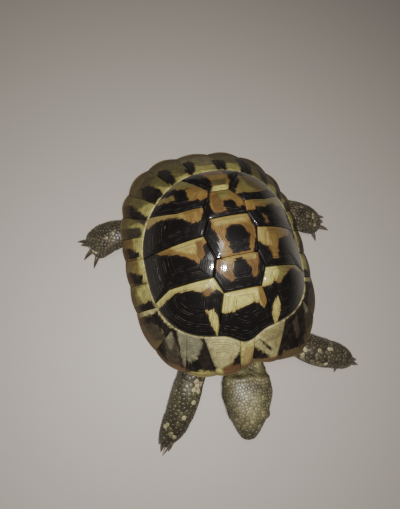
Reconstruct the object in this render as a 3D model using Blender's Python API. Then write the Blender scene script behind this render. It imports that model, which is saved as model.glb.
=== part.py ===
"""Still, life-size model of a young Hermann's tortoise that stands on four feet.

The shell is built from separate horny plates over a solid trunk. The head, neck, tail,
legs and eyes are solids of their own, and the claws are joined to the feet.

The sizes below are millimetres; new_object() turns them into metres. The tortoise looks
along -Y, its left side is +X and the floor it stands on is Z = 0.
"""

import math
from dataclasses import dataclass

import bmesh
import bpy
from mathutils import Vector

METRES_PER_MM = 0.001

# Driving dimensions of the shell.
SHELL_HALF_WIDTH = 49.8
SHELL_FRONT_REACH = 62.3      # from the shell's centre to its front edge
SHELL_REAR_REACH = 63.5
SHELL_TOP = 67.0              # height of the crown over the floor
RIM_SIDE_Z = 24.0             # height of the rim's edge beside the bridge
RIM_FRONT_LIFT = 9.5
RIM_REAR_DROP = 6.5
CENTRE_Y = 2.5
FRONT_POWER = 2.95            # how square the rim's plan is, before and behind
REAR_POWER = 2.65
CROWN_POWER = 2.25
FLANK_POWER = 0.90

# The seam where the costal plates end and the marginal plates begin.
RING_HALF_WIDTH = 41.0
RING_FRONT_REACH = 44.0
RING_REAR_REACH = 38.5
RING_FRONT_POWER = 3.0
RING_REAR_POWER = 2.0
NUCHAL_PEAK = 0.11            # how far the ring reaches forward at the nuchal plate
NUCHAL_PEAK_ANGLE = 9.0

PLATE_THICKNESS = 2.0
RIM_THICKNESS = 2.6
SEAM = 0.3                    # gap between neighbouring plates
AREOLA_RISE = 0.7             # how far a plate's middle stands over its edge
SEAM_DIP = 0.3
SCALLOP = 0.8                 # how far each marginal plate bulges past the rim
CLEARANCE = 0.35              # gap between touching solids

PLASTRON_Z = 6.5
PLASTRON_THICKNESS = 2.2
BRIDGE_FLAT = 27.0            # the plastron is flat out to here
BRIDGE_RISE = 13.0
BRIDGE_SEAM = 0.925           # place of the bridge's upper seam, as a share of the rim

# Seams between marginal plates, as angles from the nose direction in degrees:
# on the ring, and on the rim. The first is the nuchal plate's edge.
RING_SEAMS = (4.0, 26.2, 35.3, 43.7, 58.9, 76.4, 93.5, 108.6, 120.0, 131.5, 148.3, 167.0)
RIM_SEAMS = (3.3, 14.5, 28.3, 44.7, 65.0, 80.4, 96.2, 110.0, 123.5, 137.0, 154.5, 171.3)
# Where the costal seams and the first and last vertebral seams meet the ring.
VERTEBRAL_FRONT_ANGLE = 18.0
COSTAL_ANGLES = (61.5, 92.5, 121.5)
VERTEBRAL_REAR_ANGLE = 156.5
RING_STEP = 9.5               # widest step between points on the ring, in degrees
SEAM_STEP = 8.0               # widest step between points on an inner seam

# Seam corners between vertebral and costal plates, on the left side of the plan (x, y).
V1_V2 = (9.1, -22.8)
C1_C2_TOP = (12.5, -15.2)
V2_V3 = (10.0, -7.7)
C2_C3_TOP = (13.0, 3.9)
V3_V4 = (9.6, 11.0)
C3_C4_TOP = (10.2, 17.9)
V4_V5 = (4.5, 25.5)
C1_C2_BEND = (32.0, -14.8)
C3_C4_BEND = (22.0, 18.8)

PLASTRON_FRONT_LIFT = 2.0
PLASTRON_REAR_LIFT = 1.5
LOBE_START = 30.0             # the plastron's lobes lift from here fore and aft
LOBE_END = 56.0
PLATE_EDGE_DIP = 0.25         # how far a belly plate's edge is sunk

# The rim's underside, as shares of the rim's reach.
LIP_SHARE = 0.985             # the lower edge of the rim
POCKET_SHARE = 0.875          # where the underside ends over the leg pockets
POCKET_DEPTH = 1.2            # how far the pocket's roof lies under the rim's edge

# The trunk's levels under the rim, as shares of the rim's reach.
TRUNK_STEPS = 36
TRUNK_GAP = CLEARANCE + 0.15
CROWN_SHARE, FLANK_SHARE, KEEL_SHARE = 0.28, 0.52, 0.45
RING_INSIDE = 0.93            # the trunk's ring as a share of the seam ring
WALL_SHARES = {"pocket": 0.80, "lip": 0.76, "belly": 0.70}
WALL_BRIDGE = {"pocket": 0.04, "lip": 0.04, "belly": 0.02}
EAVE_EXTRA = 1.0
POCKET_RISE = 1.5             # the trunk's widest wall stands this far over the rim's edge
BELLY_RISE = 0.9
BELLY_CURVE = 1.15            # how much faster the belly rises than the plastron
KEEL_RISE = 0.2

LIMB_SIDES = 12
TAIL_SIDES = 10
CLAW_ROOT = 3.4               # how deep a claw is set in its toe

# The head points a little to the tortoise's right and a little down.
HEAD_BACK = Vector((-0.2, -63.6, 28.2))
SNOUT_TIP = Vector((-6.2, -93.1, 25.0))
# Sections of the head: distance back from the snout, half width, rise and drop.
HEAD_SECTIONS = [(0.0, 2.8, 2.7, 3.6), (1.2, 4.1, 4.3, 5.0), (4.0, 6.1, 6.1, 5.9),
                 (8.0, 8.5, 7.7, 6.8), (12.0, 10.4, 8.7, 7.4), (17.0, 12.2, 9.3, 8.1),
                 (22.0, 13.0, 9.2, 8.4), (26.5, 12.9, 8.4, 8.2), (30.0, 12.1, 7.4, 7.8)]
HEAD_SIDES = 18
HEAD_POWER = 2.3
NECK_SIDES = 16
EYE_RADIUS = 2.6
EYE_BACK = 13.0               # distance of the eye behind the snout
EYE_OUT = 8.1
EYE_UP = 2.4
EYE_AROUND, EYE_DOWN = 12, 8  # the eyeball's points around and down

SKIN = (0.20, 0.17, 0.11, 1.0)
HORN_AMBER = (0.50, 0.36, 0.10, 1.0)
HORN_DARK = (0.10, 0.08, 0.05, 1.0)
HORN_OLIVE = (0.36, 0.30, 0.12, 1.0)
EYE_DARK = (0.02, 0.015, 0.01, 1.0)


# ---------------------------------------------------------------- scene helpers

def clear_scene():
    """Removes every object of the startup scene."""
    for item in list(bpy.data.objects):
        bpy.data.objects.remove(item, do_unlink=True)


def new_material(name, colour, roughness):
    """A Principled material of one colour."""
    material = bpy.data.materials.new(name)
    material.use_nodes = True
    shader = material.node_tree.nodes["Principled BSDF"]
    shader.inputs["Base Color"].default_value = colour
    shader.inputs["Roughness"].default_value = roughness
    shader.inputs["Metallic"].default_value = 0.0
    material.diffuse_color = colour
    return material


def new_object(name, points, faces, colour, roughness=0.5, smooth_angle=40.0):
    """A closed mesh object from points in millimetres, with its own material."""
    mesh = bpy.data.meshes.new(name)
    mesh.from_pydata([Vector(p) * METRES_PER_MM for p in points], [], faces)
    work = bmesh.new()
    work.from_mesh(mesh)
    bmesh.ops.recalc_face_normals(work, faces=work.faces)
    work.to_mesh(mesh)
    work.free()
    mesh.shade_smooth()
    mesh.set_sharp_from_angle(angle=math.radians(smooth_angle))
    mesh.materials.append(new_material(name + "_finish", colour, roughness))
    item = bpy.data.objects.new(name, mesh)
    bpy.context.scene.collection.objects.link(item)
    return item


def new_cutter(name, points, faces):
    """A closed mesh that only shapes other objects."""
    item = new_object(name, points, faces, SKIN)
    item.hide_render = True
    item.display_type = "WIRE"
    return item


def add_boolean(item, cutter, operation):
    """Adds a Boolean modifier with the exact solver."""
    modifier = item.modifiers.new(operation.title() + "_" + cutter.name, "BOOLEAN")
    modifier.operation = operation
    modifier.object = cutter
    modifier.solver = "EXACT"


def bridge_rings(rings):
    """Points and faces of a closed solid whose cross-sections are equal rings of points."""
    count = len(rings[0])
    points = [point for ring in rings for point in ring]
    faces = [tuple(range(count))]
    for level in range(len(rings) - 1):
        base = level * count
        for k in range(count):
            after = (k + 1) % count
            faces.append((base + k, base + count + k, base + count + after, base + after))
    last = (len(rings) - 1) * count
    faces.append(tuple(last + k for k in reversed(range(count))))
    return points, faces


# ---------------------------------------------------------------- the shell's form

def plan_direction(angle):
    """Unit plan direction at an angle from the nose, in degrees, towards the left side."""
    turn = math.radians(angle)
    return math.sin(turn), -math.cos(turn)


def oval_reach(direction, half_width, front, rear, front_power, rear_power):
    """Distance from the shell's centre to an oval along a plan direction."""
    across, along = direction
    reach, power = (front, front_power) if along < 0 else (rear, rear_power)
    total = abs(across / half_width) ** power + abs(along / reach) ** power
    return total ** (-1.0 / power)


def rim_reach(direction):
    """Distance from the shell's centre to its rim along a plan direction."""
    return oval_reach(direction, SHELL_HALF_WIDTH, SHELL_FRONT_REACH, SHELL_REAR_REACH,
                      FRONT_POWER, REAR_POWER)


def ring_reach(direction):
    """Distance from the shell's centre to the seam ring along a plan direction."""
    reach = oval_reach(direction, RING_HALF_WIDTH, RING_FRONT_REACH, RING_REAR_REACH,
                       RING_FRONT_POWER, RING_REAR_POWER)
    off_nose = math.degrees(math.acos(max(-1.0, min(1.0, -direction[1]))))
    return reach * (1.0 + NUCHAL_PEAK * math.exp(-(off_nose / NUCHAL_PEAK_ANGLE) ** 2))


def rim_height(direction):
    """Height of the rim's edge: lifted over the neck, lower at the tail."""
    along = direction[1]
    if along < 0:
        return RIM_SIDE_Z + RIM_FRONT_LIFT * along * along
    return RIM_SIDE_Z - RIM_REAR_DROP * along * along


def shell_height(x, y):
    """Height of the shell's outer surface over a plan point."""
    away = math.hypot(x, y - CENTRE_Y)
    if away < 1e-6:
        return SHELL_TOP
    direction = (x / away, (y - CENTRE_Y) / away)
    share = min(1.0, away / rim_reach(direction))
    base = rim_height(direction)
    return base + (SHELL_TOP - base) * (1.0 - share ** CROWN_POWER) ** (1.0 / FLANK_POWER)


def shell_normal(x, y):
    """Outward unit normal of the shell, taken just inside the rim."""
    away = math.hypot(x, y - CENTRE_Y)
    if away > 1e-6:
        direction = (x / away, (y - CENTRE_Y) / away)
        kept = min(away, 0.96 * rim_reach(direction))
        x, y = direction[0] * kept, CENTRE_Y + direction[1] * kept
    step = 0.5
    slope_x = (shell_height(x + step, y) - shell_height(x - step, y)) / (2 * step)
    slope_y = (shell_height(x, y + step) - shell_height(x, y - step)) / (2 * step)
    return Vector((-slope_x, -slope_y, 1.0)).normalized()


def shell_point(x, y, depth=0.0):
    """Point on the shell, or at a depth under it."""
    return Vector((x, y, shell_height(x, y))) - shell_normal(x, y) * depth


def ring_plan(angle):
    """Plan point of the seam ring at an angle from the nose."""
    direction = plan_direction(angle)
    reach = ring_reach(direction)
    return direction[0] * reach, CENTRE_Y + direction[1] * reach


def rim_plan(angle, extra=0.0):
    """Plan point of the rim at an angle from the nose."""
    direction = plan_direction(angle)
    reach = rim_reach(direction) + extra
    return direction[0] * reach, CENTRE_Y + direction[1] * reach


def ring_stations():
    """Angles of all the ring's points on one side, shared by the plates on both sides of it."""
    fixed = sorted(set(RING_SEAMS) | set(COSTAL_ANGLES)
                   | {0.0, VERTEBRAL_FRONT_ANGLE, VERTEBRAL_REAR_ANGLE, 180.0})
    stations = [fixed[0]]
    for low, high in zip(fixed, fixed[1:]):
        parts = max(1, math.ceil((high - low) / RING_STEP))
        stations += [low + (high - low) * k / parts for k in range(1, parts + 1)]
    return stations


STATIONS = ring_stations()


def stations_between(low, high):
    """The ring's angles from low to high."""
    return [a for a in STATIONS if low - 1e-6 <= a <= high + 1e-6]


# ---------------------------------------------------------------- vertebral and costal plates

def seam_path(*corners):
    """Plan points along an inner seam, without its last corner."""
    path = []
    for start, end in zip(corners, corners[1:]):
        length = math.dist(start, end)
        parts = max(1, math.ceil(length / SEAM_STEP))
        for k in range(parts):
            share = k / parts
            path.append((start[0] + (end[0] - start[0]) * share,
                         start[1] + (end[1] - start[1]) * share))
    return path


def ring_path(low, high):
    """Plan points along the ring from one angle to another, without the last."""
    return [ring_plan(a) for a in stations_between(low, high)[:-1]]


def mirrored(points):
    """The same plan points on the right side, in reverse order."""
    return [(-x, y) for x, y in reversed(points)]


def both_sides(left_path):
    """A loop that runs up the left side and down the right one."""
    right = mirrored(left_path)
    loop = list(left_path)
    for point in right:
        if all(math.dist(point, other) > 1e-6 for other in loop):
            loop.append(point)
    return loop


def inset_loop(loop, inset):
    """A plan loop moved inwards by the same distance along each of its edges."""
    area = sum(a[0] * b[1] - b[0] * a[1] for a, b in zip(loop, loop[1:] + loop[:1]))
    turn = 1.0 if area > 0 else -1.0
    moved = []
    for before, here, after in zip(loop[-1:] + loop[:-1], loop, loop[1:] + loop[:1]):
        first = Vector((here[0] - before[0], here[1] - before[1])).normalized()
        second = Vector((after[0] - here[0], after[1] - here[1])).normalized()
        inward_a = Vector((-first.y, first.x)) * turn
        inward_b = Vector((-second.y, second.x)) * turn
        mitre = (inward_a + inward_b).normalized()
        reach = inset / max(0.4, mitre.dot(inward_a))
        moved.append((here[0] + mitre.x * reach, here[1] + mitre.y * reach))
    return moved


def build_dome_plate(name, loop, colour):
    """A horny plate that follows the dome, a little raised towards its middle."""
    edge = inset_loop(loop, SEAM / 2)
    count = len(edge)
    middle = (sum(p[0] for p in edge) / count, sum(p[1] for p in edge) / count)

    def ring(share, depth):
        """The edge drawn in towards the middle, at a depth under the dome."""
        return [shell_point(middle[0] + (p[0] - middle[0]) * share,
                            middle[1] + (p[1] - middle[1]) * share, depth) for p in edge]

    rings = [ring(0.5, PLATE_THICKNESS), ring(1.0, PLATE_THICKNESS), ring(1.0, SEAM_DIP),
             ring(0.88, -0.2 * AREOLA_RISE), ring(0.42, -AREOLA_RISE)]
    points, faces = bridge_rings(rings)
    return new_object(name, points, cap_fans(points, faces, count, len(rings),
                                             shell_point(*middle, PLATE_THICKNESS),
                                             shell_point(*middle, -1.1 * AREOLA_RISE)), colour, 0.3)


def cap_fans(points, faces, count, levels, low_middle, high_middle):
    """Replaces the two flat caps of a ringed solid with fans about a middle point."""
    kept = faces[1:-1]
    points.append(low_middle)
    points.append(high_middle)
    low, high = len(points) - 2, len(points) - 1
    base = (levels - 1) * count
    for k in range(count):
        after = (k + 1) % count
        kept.append((low, k, after))
        kept.append((high, base + after, base + k))
    return kept


def build_vertebrals():
    """The five plates along the back, each symmetric about the middle."""
    front = ring_plan(VERTEBRAL_FRONT_ANGLE)
    rear = ring_plan(VERTEBRAL_REAR_ANGLE)
    sides = [
        ring_path(RING_SEAMS[0], VERTEBRAL_FRONT_ANGLE) + seam_path(front, V1_V2) + [V1_V2],
        seam_path(V1_V2, C1_C2_TOP, V2_V3) + [V2_V3],
        seam_path(V2_V3, C2_C3_TOP, V3_V4) + [V3_V4],
        seam_path(V3_V4, C3_C4_TOP, V4_V5) + [V4_V5],
        seam_path(V4_V5, rear) + ring_path(VERTEBRAL_REAR_ANGLE, 180.0) + [ring_plan(180.0)],
    ]
    plates = []
    for number, side in enumerate(sides, start=1):
        loop = both_sides(add_cross_seams(side, number))
        plates.append(build_dome_plate(f"vertebral_scute_{number}", loop, HORN_AMBER))
    return plates


def add_cross_seams(side, number):
    """Adds the seams' middle points, so that neighbours share the same line across the back."""
    start = [] if number == 1 else [(0.0, side[0][1])]
    end = [] if number == 5 else [(0.0, side[-1][1])]
    return start + side + end


def build_costals():
    """The four plates on each flank."""
    c12, c23, c34 = (ring_plan(a) for a in COSTAL_ANGLES)
    front = ring_plan(VERTEBRAL_FRONT_ANGLE)
    rear = ring_plan(VERTEBRAL_REAR_ANGLE)
    a12, a23, a34 = COSTAL_ANGLES
    loops = [
        ring_path(VERTEBRAL_FRONT_ANGLE, a12) + seam_path(c12, C1_C2_BEND, C1_C2_TOP, V1_V2, front),
        ring_path(a12, a23) + seam_path(c23, C2_C3_TOP, V2_V3, C1_C2_TOP, C1_C2_BEND, c12),
        ring_path(a23, a34) + seam_path(c34, C3_C4_BEND, C3_C4_TOP, V3_V4, C2_C3_TOP, c23),
        ring_path(a34, VERTEBRAL_REAR_ANGLE) + seam_path(rear, V4_V5, C3_C4_TOP, C3_C4_BEND, c34),
    ]
    plates = []
    for number, loop in enumerate(loops, start=1):
        plates.append(build_dome_plate(f"costal_scute_left_{number}", loop, HORN_DARK))
        plates.append(build_dome_plate(f"costal_scute_right_{number}", mirrored(loop), HORN_DARK))
    return plates


# ---------------------------------------------------------------- marginal plates

def smooth_step(value, low, high):
    """0 below low, 1 above high, smooth between."""
    share = max(0.0, min(1.0, (value - low) / (high - low)))
    return share * share * (3.0 - 2.0 * share)


def bridge_share(angle):
    """1 where the plastron's bridge meets the rim, 0 at the leg pockets."""
    return smooth_step(angle, 52.0, 60.0) * (1.0 - smooth_step(angle, 108.0, 116.0))


def bridge_height(x):
    """How far the plastron rises at a distance from the middle."""
    out = max(0.0, abs(x) - BRIDGE_FLAT) / (BRIDGE_SEAM * SHELL_HALF_WIDTH - BRIDGE_FLAT)
    return BRIDGE_RISE * out ** 1.5


def cap_rim_section(faces, count, levels):
    """Replaces the two end caps of a rim plate with the same triangles at either end."""
    kept = faces[1:-1]
    outer, inner = list(range(5)), [9, 8, 7, 6, 5]
    for base, flip in ((0, False), ((levels - 1) * count, True)):
        for k in range(4):
            for triangle in ((outer[k], outer[k + 1], inner[k]),
                             (outer[k + 1], inner[k + 1], inner[k])):
                corners = tuple(base + corner for corner in triangle)
                kept.append(corners[::-1] if flip else corners)
    return kept


def marginal_section(ring_angle, rim_angle, bulge, side):
    """One cross-section of the rim: down the outside, round the edge and up the inside."""
    inner = ring_plan(ring_angle)
    outer = rim_plan(rim_angle, SCALLOP * bulge)
    direction = plan_direction(rim_angle)
    edge_z = rim_height(direction)
    under = bridge_share(rim_angle)
    inset = SEAM / 2 / math.dist(inner, outer)
    raised = {inset: SEAM_DIP, 0.35: -0.4 * bulge, 0.72: -0.4 * bulge}
    section = []
    for share, depth in raised.items():
        x = inner[0] + (outer[0] - inner[0]) * share
        y = inner[1] + (outer[1] - inner[1]) * share
        section.append(shell_point(x, y, depth))
    section.append(Vector((outer[0], outer[1], edge_z)))
    lip = rim_plan(rim_angle, SCALLOP * bulge - (1 - LIP_SHARE) * rim_reach(direction))
    section.append(Vector((lip[0], lip[1], edge_z - RIM_THICKNESS)))
    seam_reach = BRIDGE_SEAM * rim_reach(direction) + SEAM / 2
    pocket_reach = POCKET_SHARE * rim_reach(direction)
    seam_z = PLASTRON_Z + bridge_height(direction[0] * seam_reach)
    under_reach = pocket_reach + (seam_reach - pocket_reach) * under
    under_z = (edge_z - POCKET_DEPTH) * (1.0 - under) + seam_z * under
    low = Vector((direction[0] * under_reach, CENTRE_Y + direction[1] * under_reach, under_z))
    section.append(low)
    inward = Vector((-direction[0], -direction[1], 1.7)).normalized()
    section.append(low + inward * PLASTRON_THICKNESS)
    for share in (0.72, 0.35, inset):
        x = inner[0] + (outer[0] - inner[0]) * share
        y = inner[1] + (outer[1] - inner[1]) * share
        section.append(shell_point(x, y, PLATE_THICKNESS + 0.5 * share))
    return [Vector((point.x * side, point.y, point.z)) for point in section]


def build_rim_plate(name, stations, rim_angles, side, colour):
    """A plate of the rim, swept between two of its seams."""
    low, high = stations[0], stations[-1]
    trim = SEAM / 2 / (math.radians(high - low) * RING_REAR_REACH)
    rings = []
    for angle in stations:
        share = trim + (1.0 - 2.0 * trim) * (angle - low) / (high - low)
        rings.append(marginal_section(low + (high - low) * share,
                                      rim_angles[0] + (rim_angles[1] - rim_angles[0]) * share,
                                      math.sin(math.pi * share), side))
    points, faces = bridge_rings(rings)
    faces = cap_rim_section(faces, len(rings[0]), len(rings))
    return new_object(name, points, faces, colour, 0.3)


def build_marginals():
    """Eleven marginal plates on each side, the nuchal plate and the supracaudal plate."""
    plates = []
    seams = list(zip(RING_SEAMS, RIM_SEAMS))
    for number, (start, end) in enumerate(zip(seams, seams[1:]), start=1):
        for label, side in (("left", 1.0), ("right", -1.0)):
            plates.append(build_rim_plate(f"marginal_scute_{label}_{number}",
                                          stations_between(start[0], end[0]),
                                          (start[1], end[1]), side, HORN_OLIVE))
    front = stations_between(0.0, RING_SEAMS[0])
    over_nose = [-a for a in reversed(front[1:])] + front
    plates.append(build_rim_plate("nuchal_scute", over_nose, (-RIM_SEAMS[0], RIM_SEAMS[0]), 1.0,
                                  HORN_AMBER))
    rear = stations_between(RING_SEAMS[-1], 180.0)
    over_tail = rear + [360.0 - a for a in reversed(rear[:-1])]
    plates.append(build_rim_plate("supracaudal_scute", over_tail,
                                  (RIM_SEAMS[-1], 360.0 - RIM_SEAMS[-1]), 1.0, HORN_OLIVE))
    return plates


# ---------------------------------------------------------------- plastron plates

def plastron_height(x, y):
    """Height of the plastron's underside over a plan point."""
    lift = PLASTRON_FRONT_LIFT * smooth_step(-y, LOBE_START, LOBE_END)
    lift += PLASTRON_REAR_LIFT * smooth_step(y, LOBE_START, LOBE_END)
    return PLASTRON_Z + lift + bridge_height(x)


def plastron_point(x, y, depth):
    """Point on the plastron's underside, or at a depth above it."""
    step = 0.5
    slope = (plastron_height(x + step, y) - plastron_height(x - step, y)) / (2 * step)
    inward = Vector((-slope, 0.0, 1.0)).normalized()
    return Vector((x, y, plastron_height(x, y))) + inward * depth


def bridge_edge(low, high):
    """Plan points where the bridge meets the marginal plates."""
    points = []
    seams = list(zip(RING_SEAMS, RIM_SEAMS))
    for (ring_a, rim_a), (ring_b, rim_b) in zip(seams, seams[1:]):
        for angle in stations_between(ring_a, ring_b)[:-1]:
            rim_angle = rim_a + (rim_b - rim_a) * (angle - ring_a) / (ring_b - ring_a)
            if low - 1e-6 <= rim_angle <= high + 1e-6:
                direction = plan_direction(rim_angle)
                reach = BRIDGE_SEAM * rim_reach(direction)
                points.append((direction[0] * reach, CENTRE_Y + direction[1] * reach))
    return points


def build_flat_plate(name, loop, colour):
    """A plate of the plastron, a little sunk along its seams."""
    edge = inset_loop(loop, SEAM / 2)
    count = len(edge)
    middle = (sum(p[0] for p in edge) / count, sum(p[1] for p in edge) / count)

    def ring(share, depth):
        """The edge drawn in towards the middle, at a depth above the underside."""
        return [plastron_point(middle[0] + (p[0] - middle[0]) * share,
                               middle[1] + (p[1] - middle[1]) * share, depth) for p in edge]

    rings = [ring(0.85, 0.0), ring(1.0, PLATE_EDGE_DIP), ring(1.0, PLASTRON_THICKNESS),
             ring(0.5, PLASTRON_THICKNESS)]
    points, faces = bridge_rings(rings)
    faces = cap_fans(points, faces, count, len(rings), plastron_point(*middle, 0.0),
                     plastron_point(*middle, PLASTRON_THICKNESS))
    return new_object(name, points, faces, colour, 0.4)


def build_plastron():
    """Six pairs of plates under the body."""
    gular_mid, humeral_mid, pectoral_mid, abdominal_mid, femoral_mid = -45.0, -33.5, -28.5, 13.0, 31.0
    front_notch, rear_notch = (0.0, -53.0), (0.0, 46.5)
    gular_out, humeral_out = (10.5, -54.0), (25.0, -36.0)
    axilla, groin = (29.0, -30.0), (30.5, 25.5)
    femoral_out = (23.0, 46.0)
    bridge_front, bridge_rear = RIM_SEAMS[4], RIM_SEAMS[7]
    bridge_middle = RIM_SEAMS[5]
    front_edge = bridge_edge(bridge_front, bridge_middle)
    rear_edge = bridge_edge(bridge_middle, bridge_rear)
    loops = {
        "gular": [front_notch, (5.0, -55.5), gular_out, (0.0, gular_mid)],
        "humeral": [gular_out, (17.0, -49.5), (22.0, -42.5), humeral_out, (12.0, -34.5),
                    (0.0, humeral_mid), (0.0, gular_mid)],
        "pectoral": [humeral_out, axilla, (37.0, -25.0)] + front_edge
                    + [(32.0, -14.0), (18.0, -22.0), (0.0, pectoral_mid), (0.0, humeral_mid),
                       (12.0, -34.5)],
        "abdominal": rear_edge + [(38.0, 20.6), groin, (14.0, 17.0), (0.0, abdominal_mid),
                                  (0.0, -8.0), (0.0, pectoral_mid), (18.0, -22.0), (32.0, -14.0)],
        "femoral": [groin, (27.5, 36.0), femoral_out, (11.0, 38.0), (0.0, femoral_mid),
                    (0.0, abdominal_mid), (14.0, 17.0)],
        "anal": [femoral_out, (15.0, 52.5), (6.0, 53.0), rear_notch, (0.0, femoral_mid),
                 (11.0, 38.0)],
    }
    plates = []
    for word, loop in loops.items():
        plates.append(build_flat_plate(f"{word}_scute_left", loop, HORN_AMBER))
        plates.append(build_flat_plate(f"{word}_scute_right", mirrored(loop), HORN_AMBER))
    return plates


# ---------------------------------------------------------------- trunk

def trunk_rings(growth):
    """Closed rings of the trunk, grown by a distance, from the crown down to the belly."""
    levels = ("crown", "flank", "ring", "eave", "pocket", "lip", "belly", "keel")
    angles = [360.0 * k / TRUNK_STEPS for k in range(TRUNK_STEPS)]
    return [[trunk_point(level, angle, growth) for angle in angles] for level in levels]


def trunk_point(level, angle, growth):
    """Point of the trunk at one of its levels, at an angle from the nose."""
    direction = plan_direction(angle)
    rim = rim_reach(direction)
    depth = PLATE_THICKNESS + TRUNK_GAP - growth
    roof = {"crown": (CROWN_SHARE * rim, depth), "flank": (FLANK_SHARE * rim, depth),
            "ring": (RING_INSIDE * ring_reach(direction), depth),
            "eave": (0.5 * (ring_reach(direction) + rim), depth + EAVE_EXTRA)}
    if level in roof:
        away, under_plate = roof[level]
        return shell_point(direction[0] * away, CENTRE_Y + direction[1] * away, under_plate)
    floor_z = PLASTRON_Z + PLASTRON_THICKNESS + CLEARANCE - growth
    if level == "keel":
        away = KEEL_SHARE * rim
        return Vector((direction[0] * away, CENTRE_Y + direction[1] * away, floor_z + KEEL_RISE))
    under = bridge_share(angle if angle <= 180.0 else 360.0 - angle)
    away = (WALL_SHARES[level] + WALL_BRIDGE[level] * under) * rim + growth
    x, y = direction[0] * away, CENTRE_Y + direction[1] * away
    height = {"pocket": rim_height(direction) + POCKET_RISE,
              "lip": 0.5 * (rim_height(direction) + floor_z) + 2.0 * under,
              "belly": floor_z + bridge_height(x) * BELLY_CURVE + lobe_lift(y) + BELLY_RISE}
    return Vector((x, y, height[level]))


def lobe_lift(y):
    """How far the plastron's lobes are lifted at a place fore or aft."""
    return plastron_height(0.0, y) - PLASTRON_Z


def trunk_mesh(growth):
    """Points and faces of the trunk, grown by a distance."""
    rings = trunk_rings(growth)
    points, faces = bridge_rings(rings)
    top = Vector((0.0, CENTRE_Y, SHELL_TOP - PLATE_THICKNESS - TRUNK_GAP + growth))
    low = Vector((0.0, CENTRE_Y, PLASTRON_Z + PLASTRON_THICKNESS + CLEARANCE + KEEL_RISE / 2 - growth))
    return points, cap_fans(points, faces, TRUNK_STEPS, len(rings), top, low)


def build_trunk():
    """The body under the plates."""
    return new_object("trunk", *trunk_mesh(0.0), SKIN, 0.6)


def build_trunk_cutter():
    """The trunk, grown by the clearance that the neck, legs and tail keep to it."""
    return new_cutter("trunk_cutter", *trunk_mesh(CLEARANCE))


# ---------------------------------------------------------------- soft parts

@dataclass
class Section:
    """A cross-section of a neck, tail, leg or head."""

    centre: tuple
    half_width: float
    rise: float
    drop: float = 0.0         # 0 takes the same as rise
    power: float = 2.0


def loft(sections, count, facing=None):
    """Rings of points across a path of sections, level across the path."""
    rings = []
    for number, section in enumerate(sections):
        here = Vector(section.centre)
        before = Vector(sections[max(0, number - 1)].centre)
        after = Vector(sections[min(len(sections) - 1, number + 1)].centre)
        along = Vector(facing) if facing else (after - before).normalized()
        across = along.cross(Vector((0.0, 0.0, 1.0))).normalized()
        upward = across.cross(along).normalized()
        ring = []
        for k in range(count):
            turn = 2.0 * math.pi * (k + 0.5) / count
            c, s = math.cos(turn), math.sin(turn)
            reach = (abs(c) ** section.power + abs(s) ** section.power) ** (-1.0 / section.power)
            tall = section.rise if s > 0 or not section.drop else section.drop
            ring.append(here + across * (c * reach * section.half_width) + upward * (s * reach * tall))
        rings.append(ring)
    return rings


def cone(base, tip, radius, sides=6):
    """Points and faces of a claw: a cone with a slight bend in its upper line."""
    end = Vector(tip)
    along = (end - Vector(base)).normalized()
    start = Vector(base) - along * CLAW_ROOT
    across = along.cross(Vector((0.0, 0.0, 1.0))).normalized()
    upward = across.cross(along)
    points = []
    for share, width in ((0.0, 1.0), (0.55, 0.72)):
        middle = start.lerp(end, share) + upward * (0.9 * radius * share * (1.0 - share) * 2.0)
        for k in range(sides):
            turn = 2.0 * math.pi * k / sides
            points.append(middle + (across * math.cos(turn) + upward * math.sin(turn)) * radius * width)
    points.append(end)
    faces = [tuple(range(sides))]
    for k in range(sides):
        after = (k + 1) % sides
        faces.append((k, sides + k, sides + after, after))
        faces.append((sides + k, 2 * sides, sides + after))
    return points, faces


@dataclass
class Limb:
    """A leg: its sections from the body to the toes, and its claws as (root, tip)."""

    name: str
    sections: list
    claws: list
    claw_radius: float = 1.35


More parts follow.
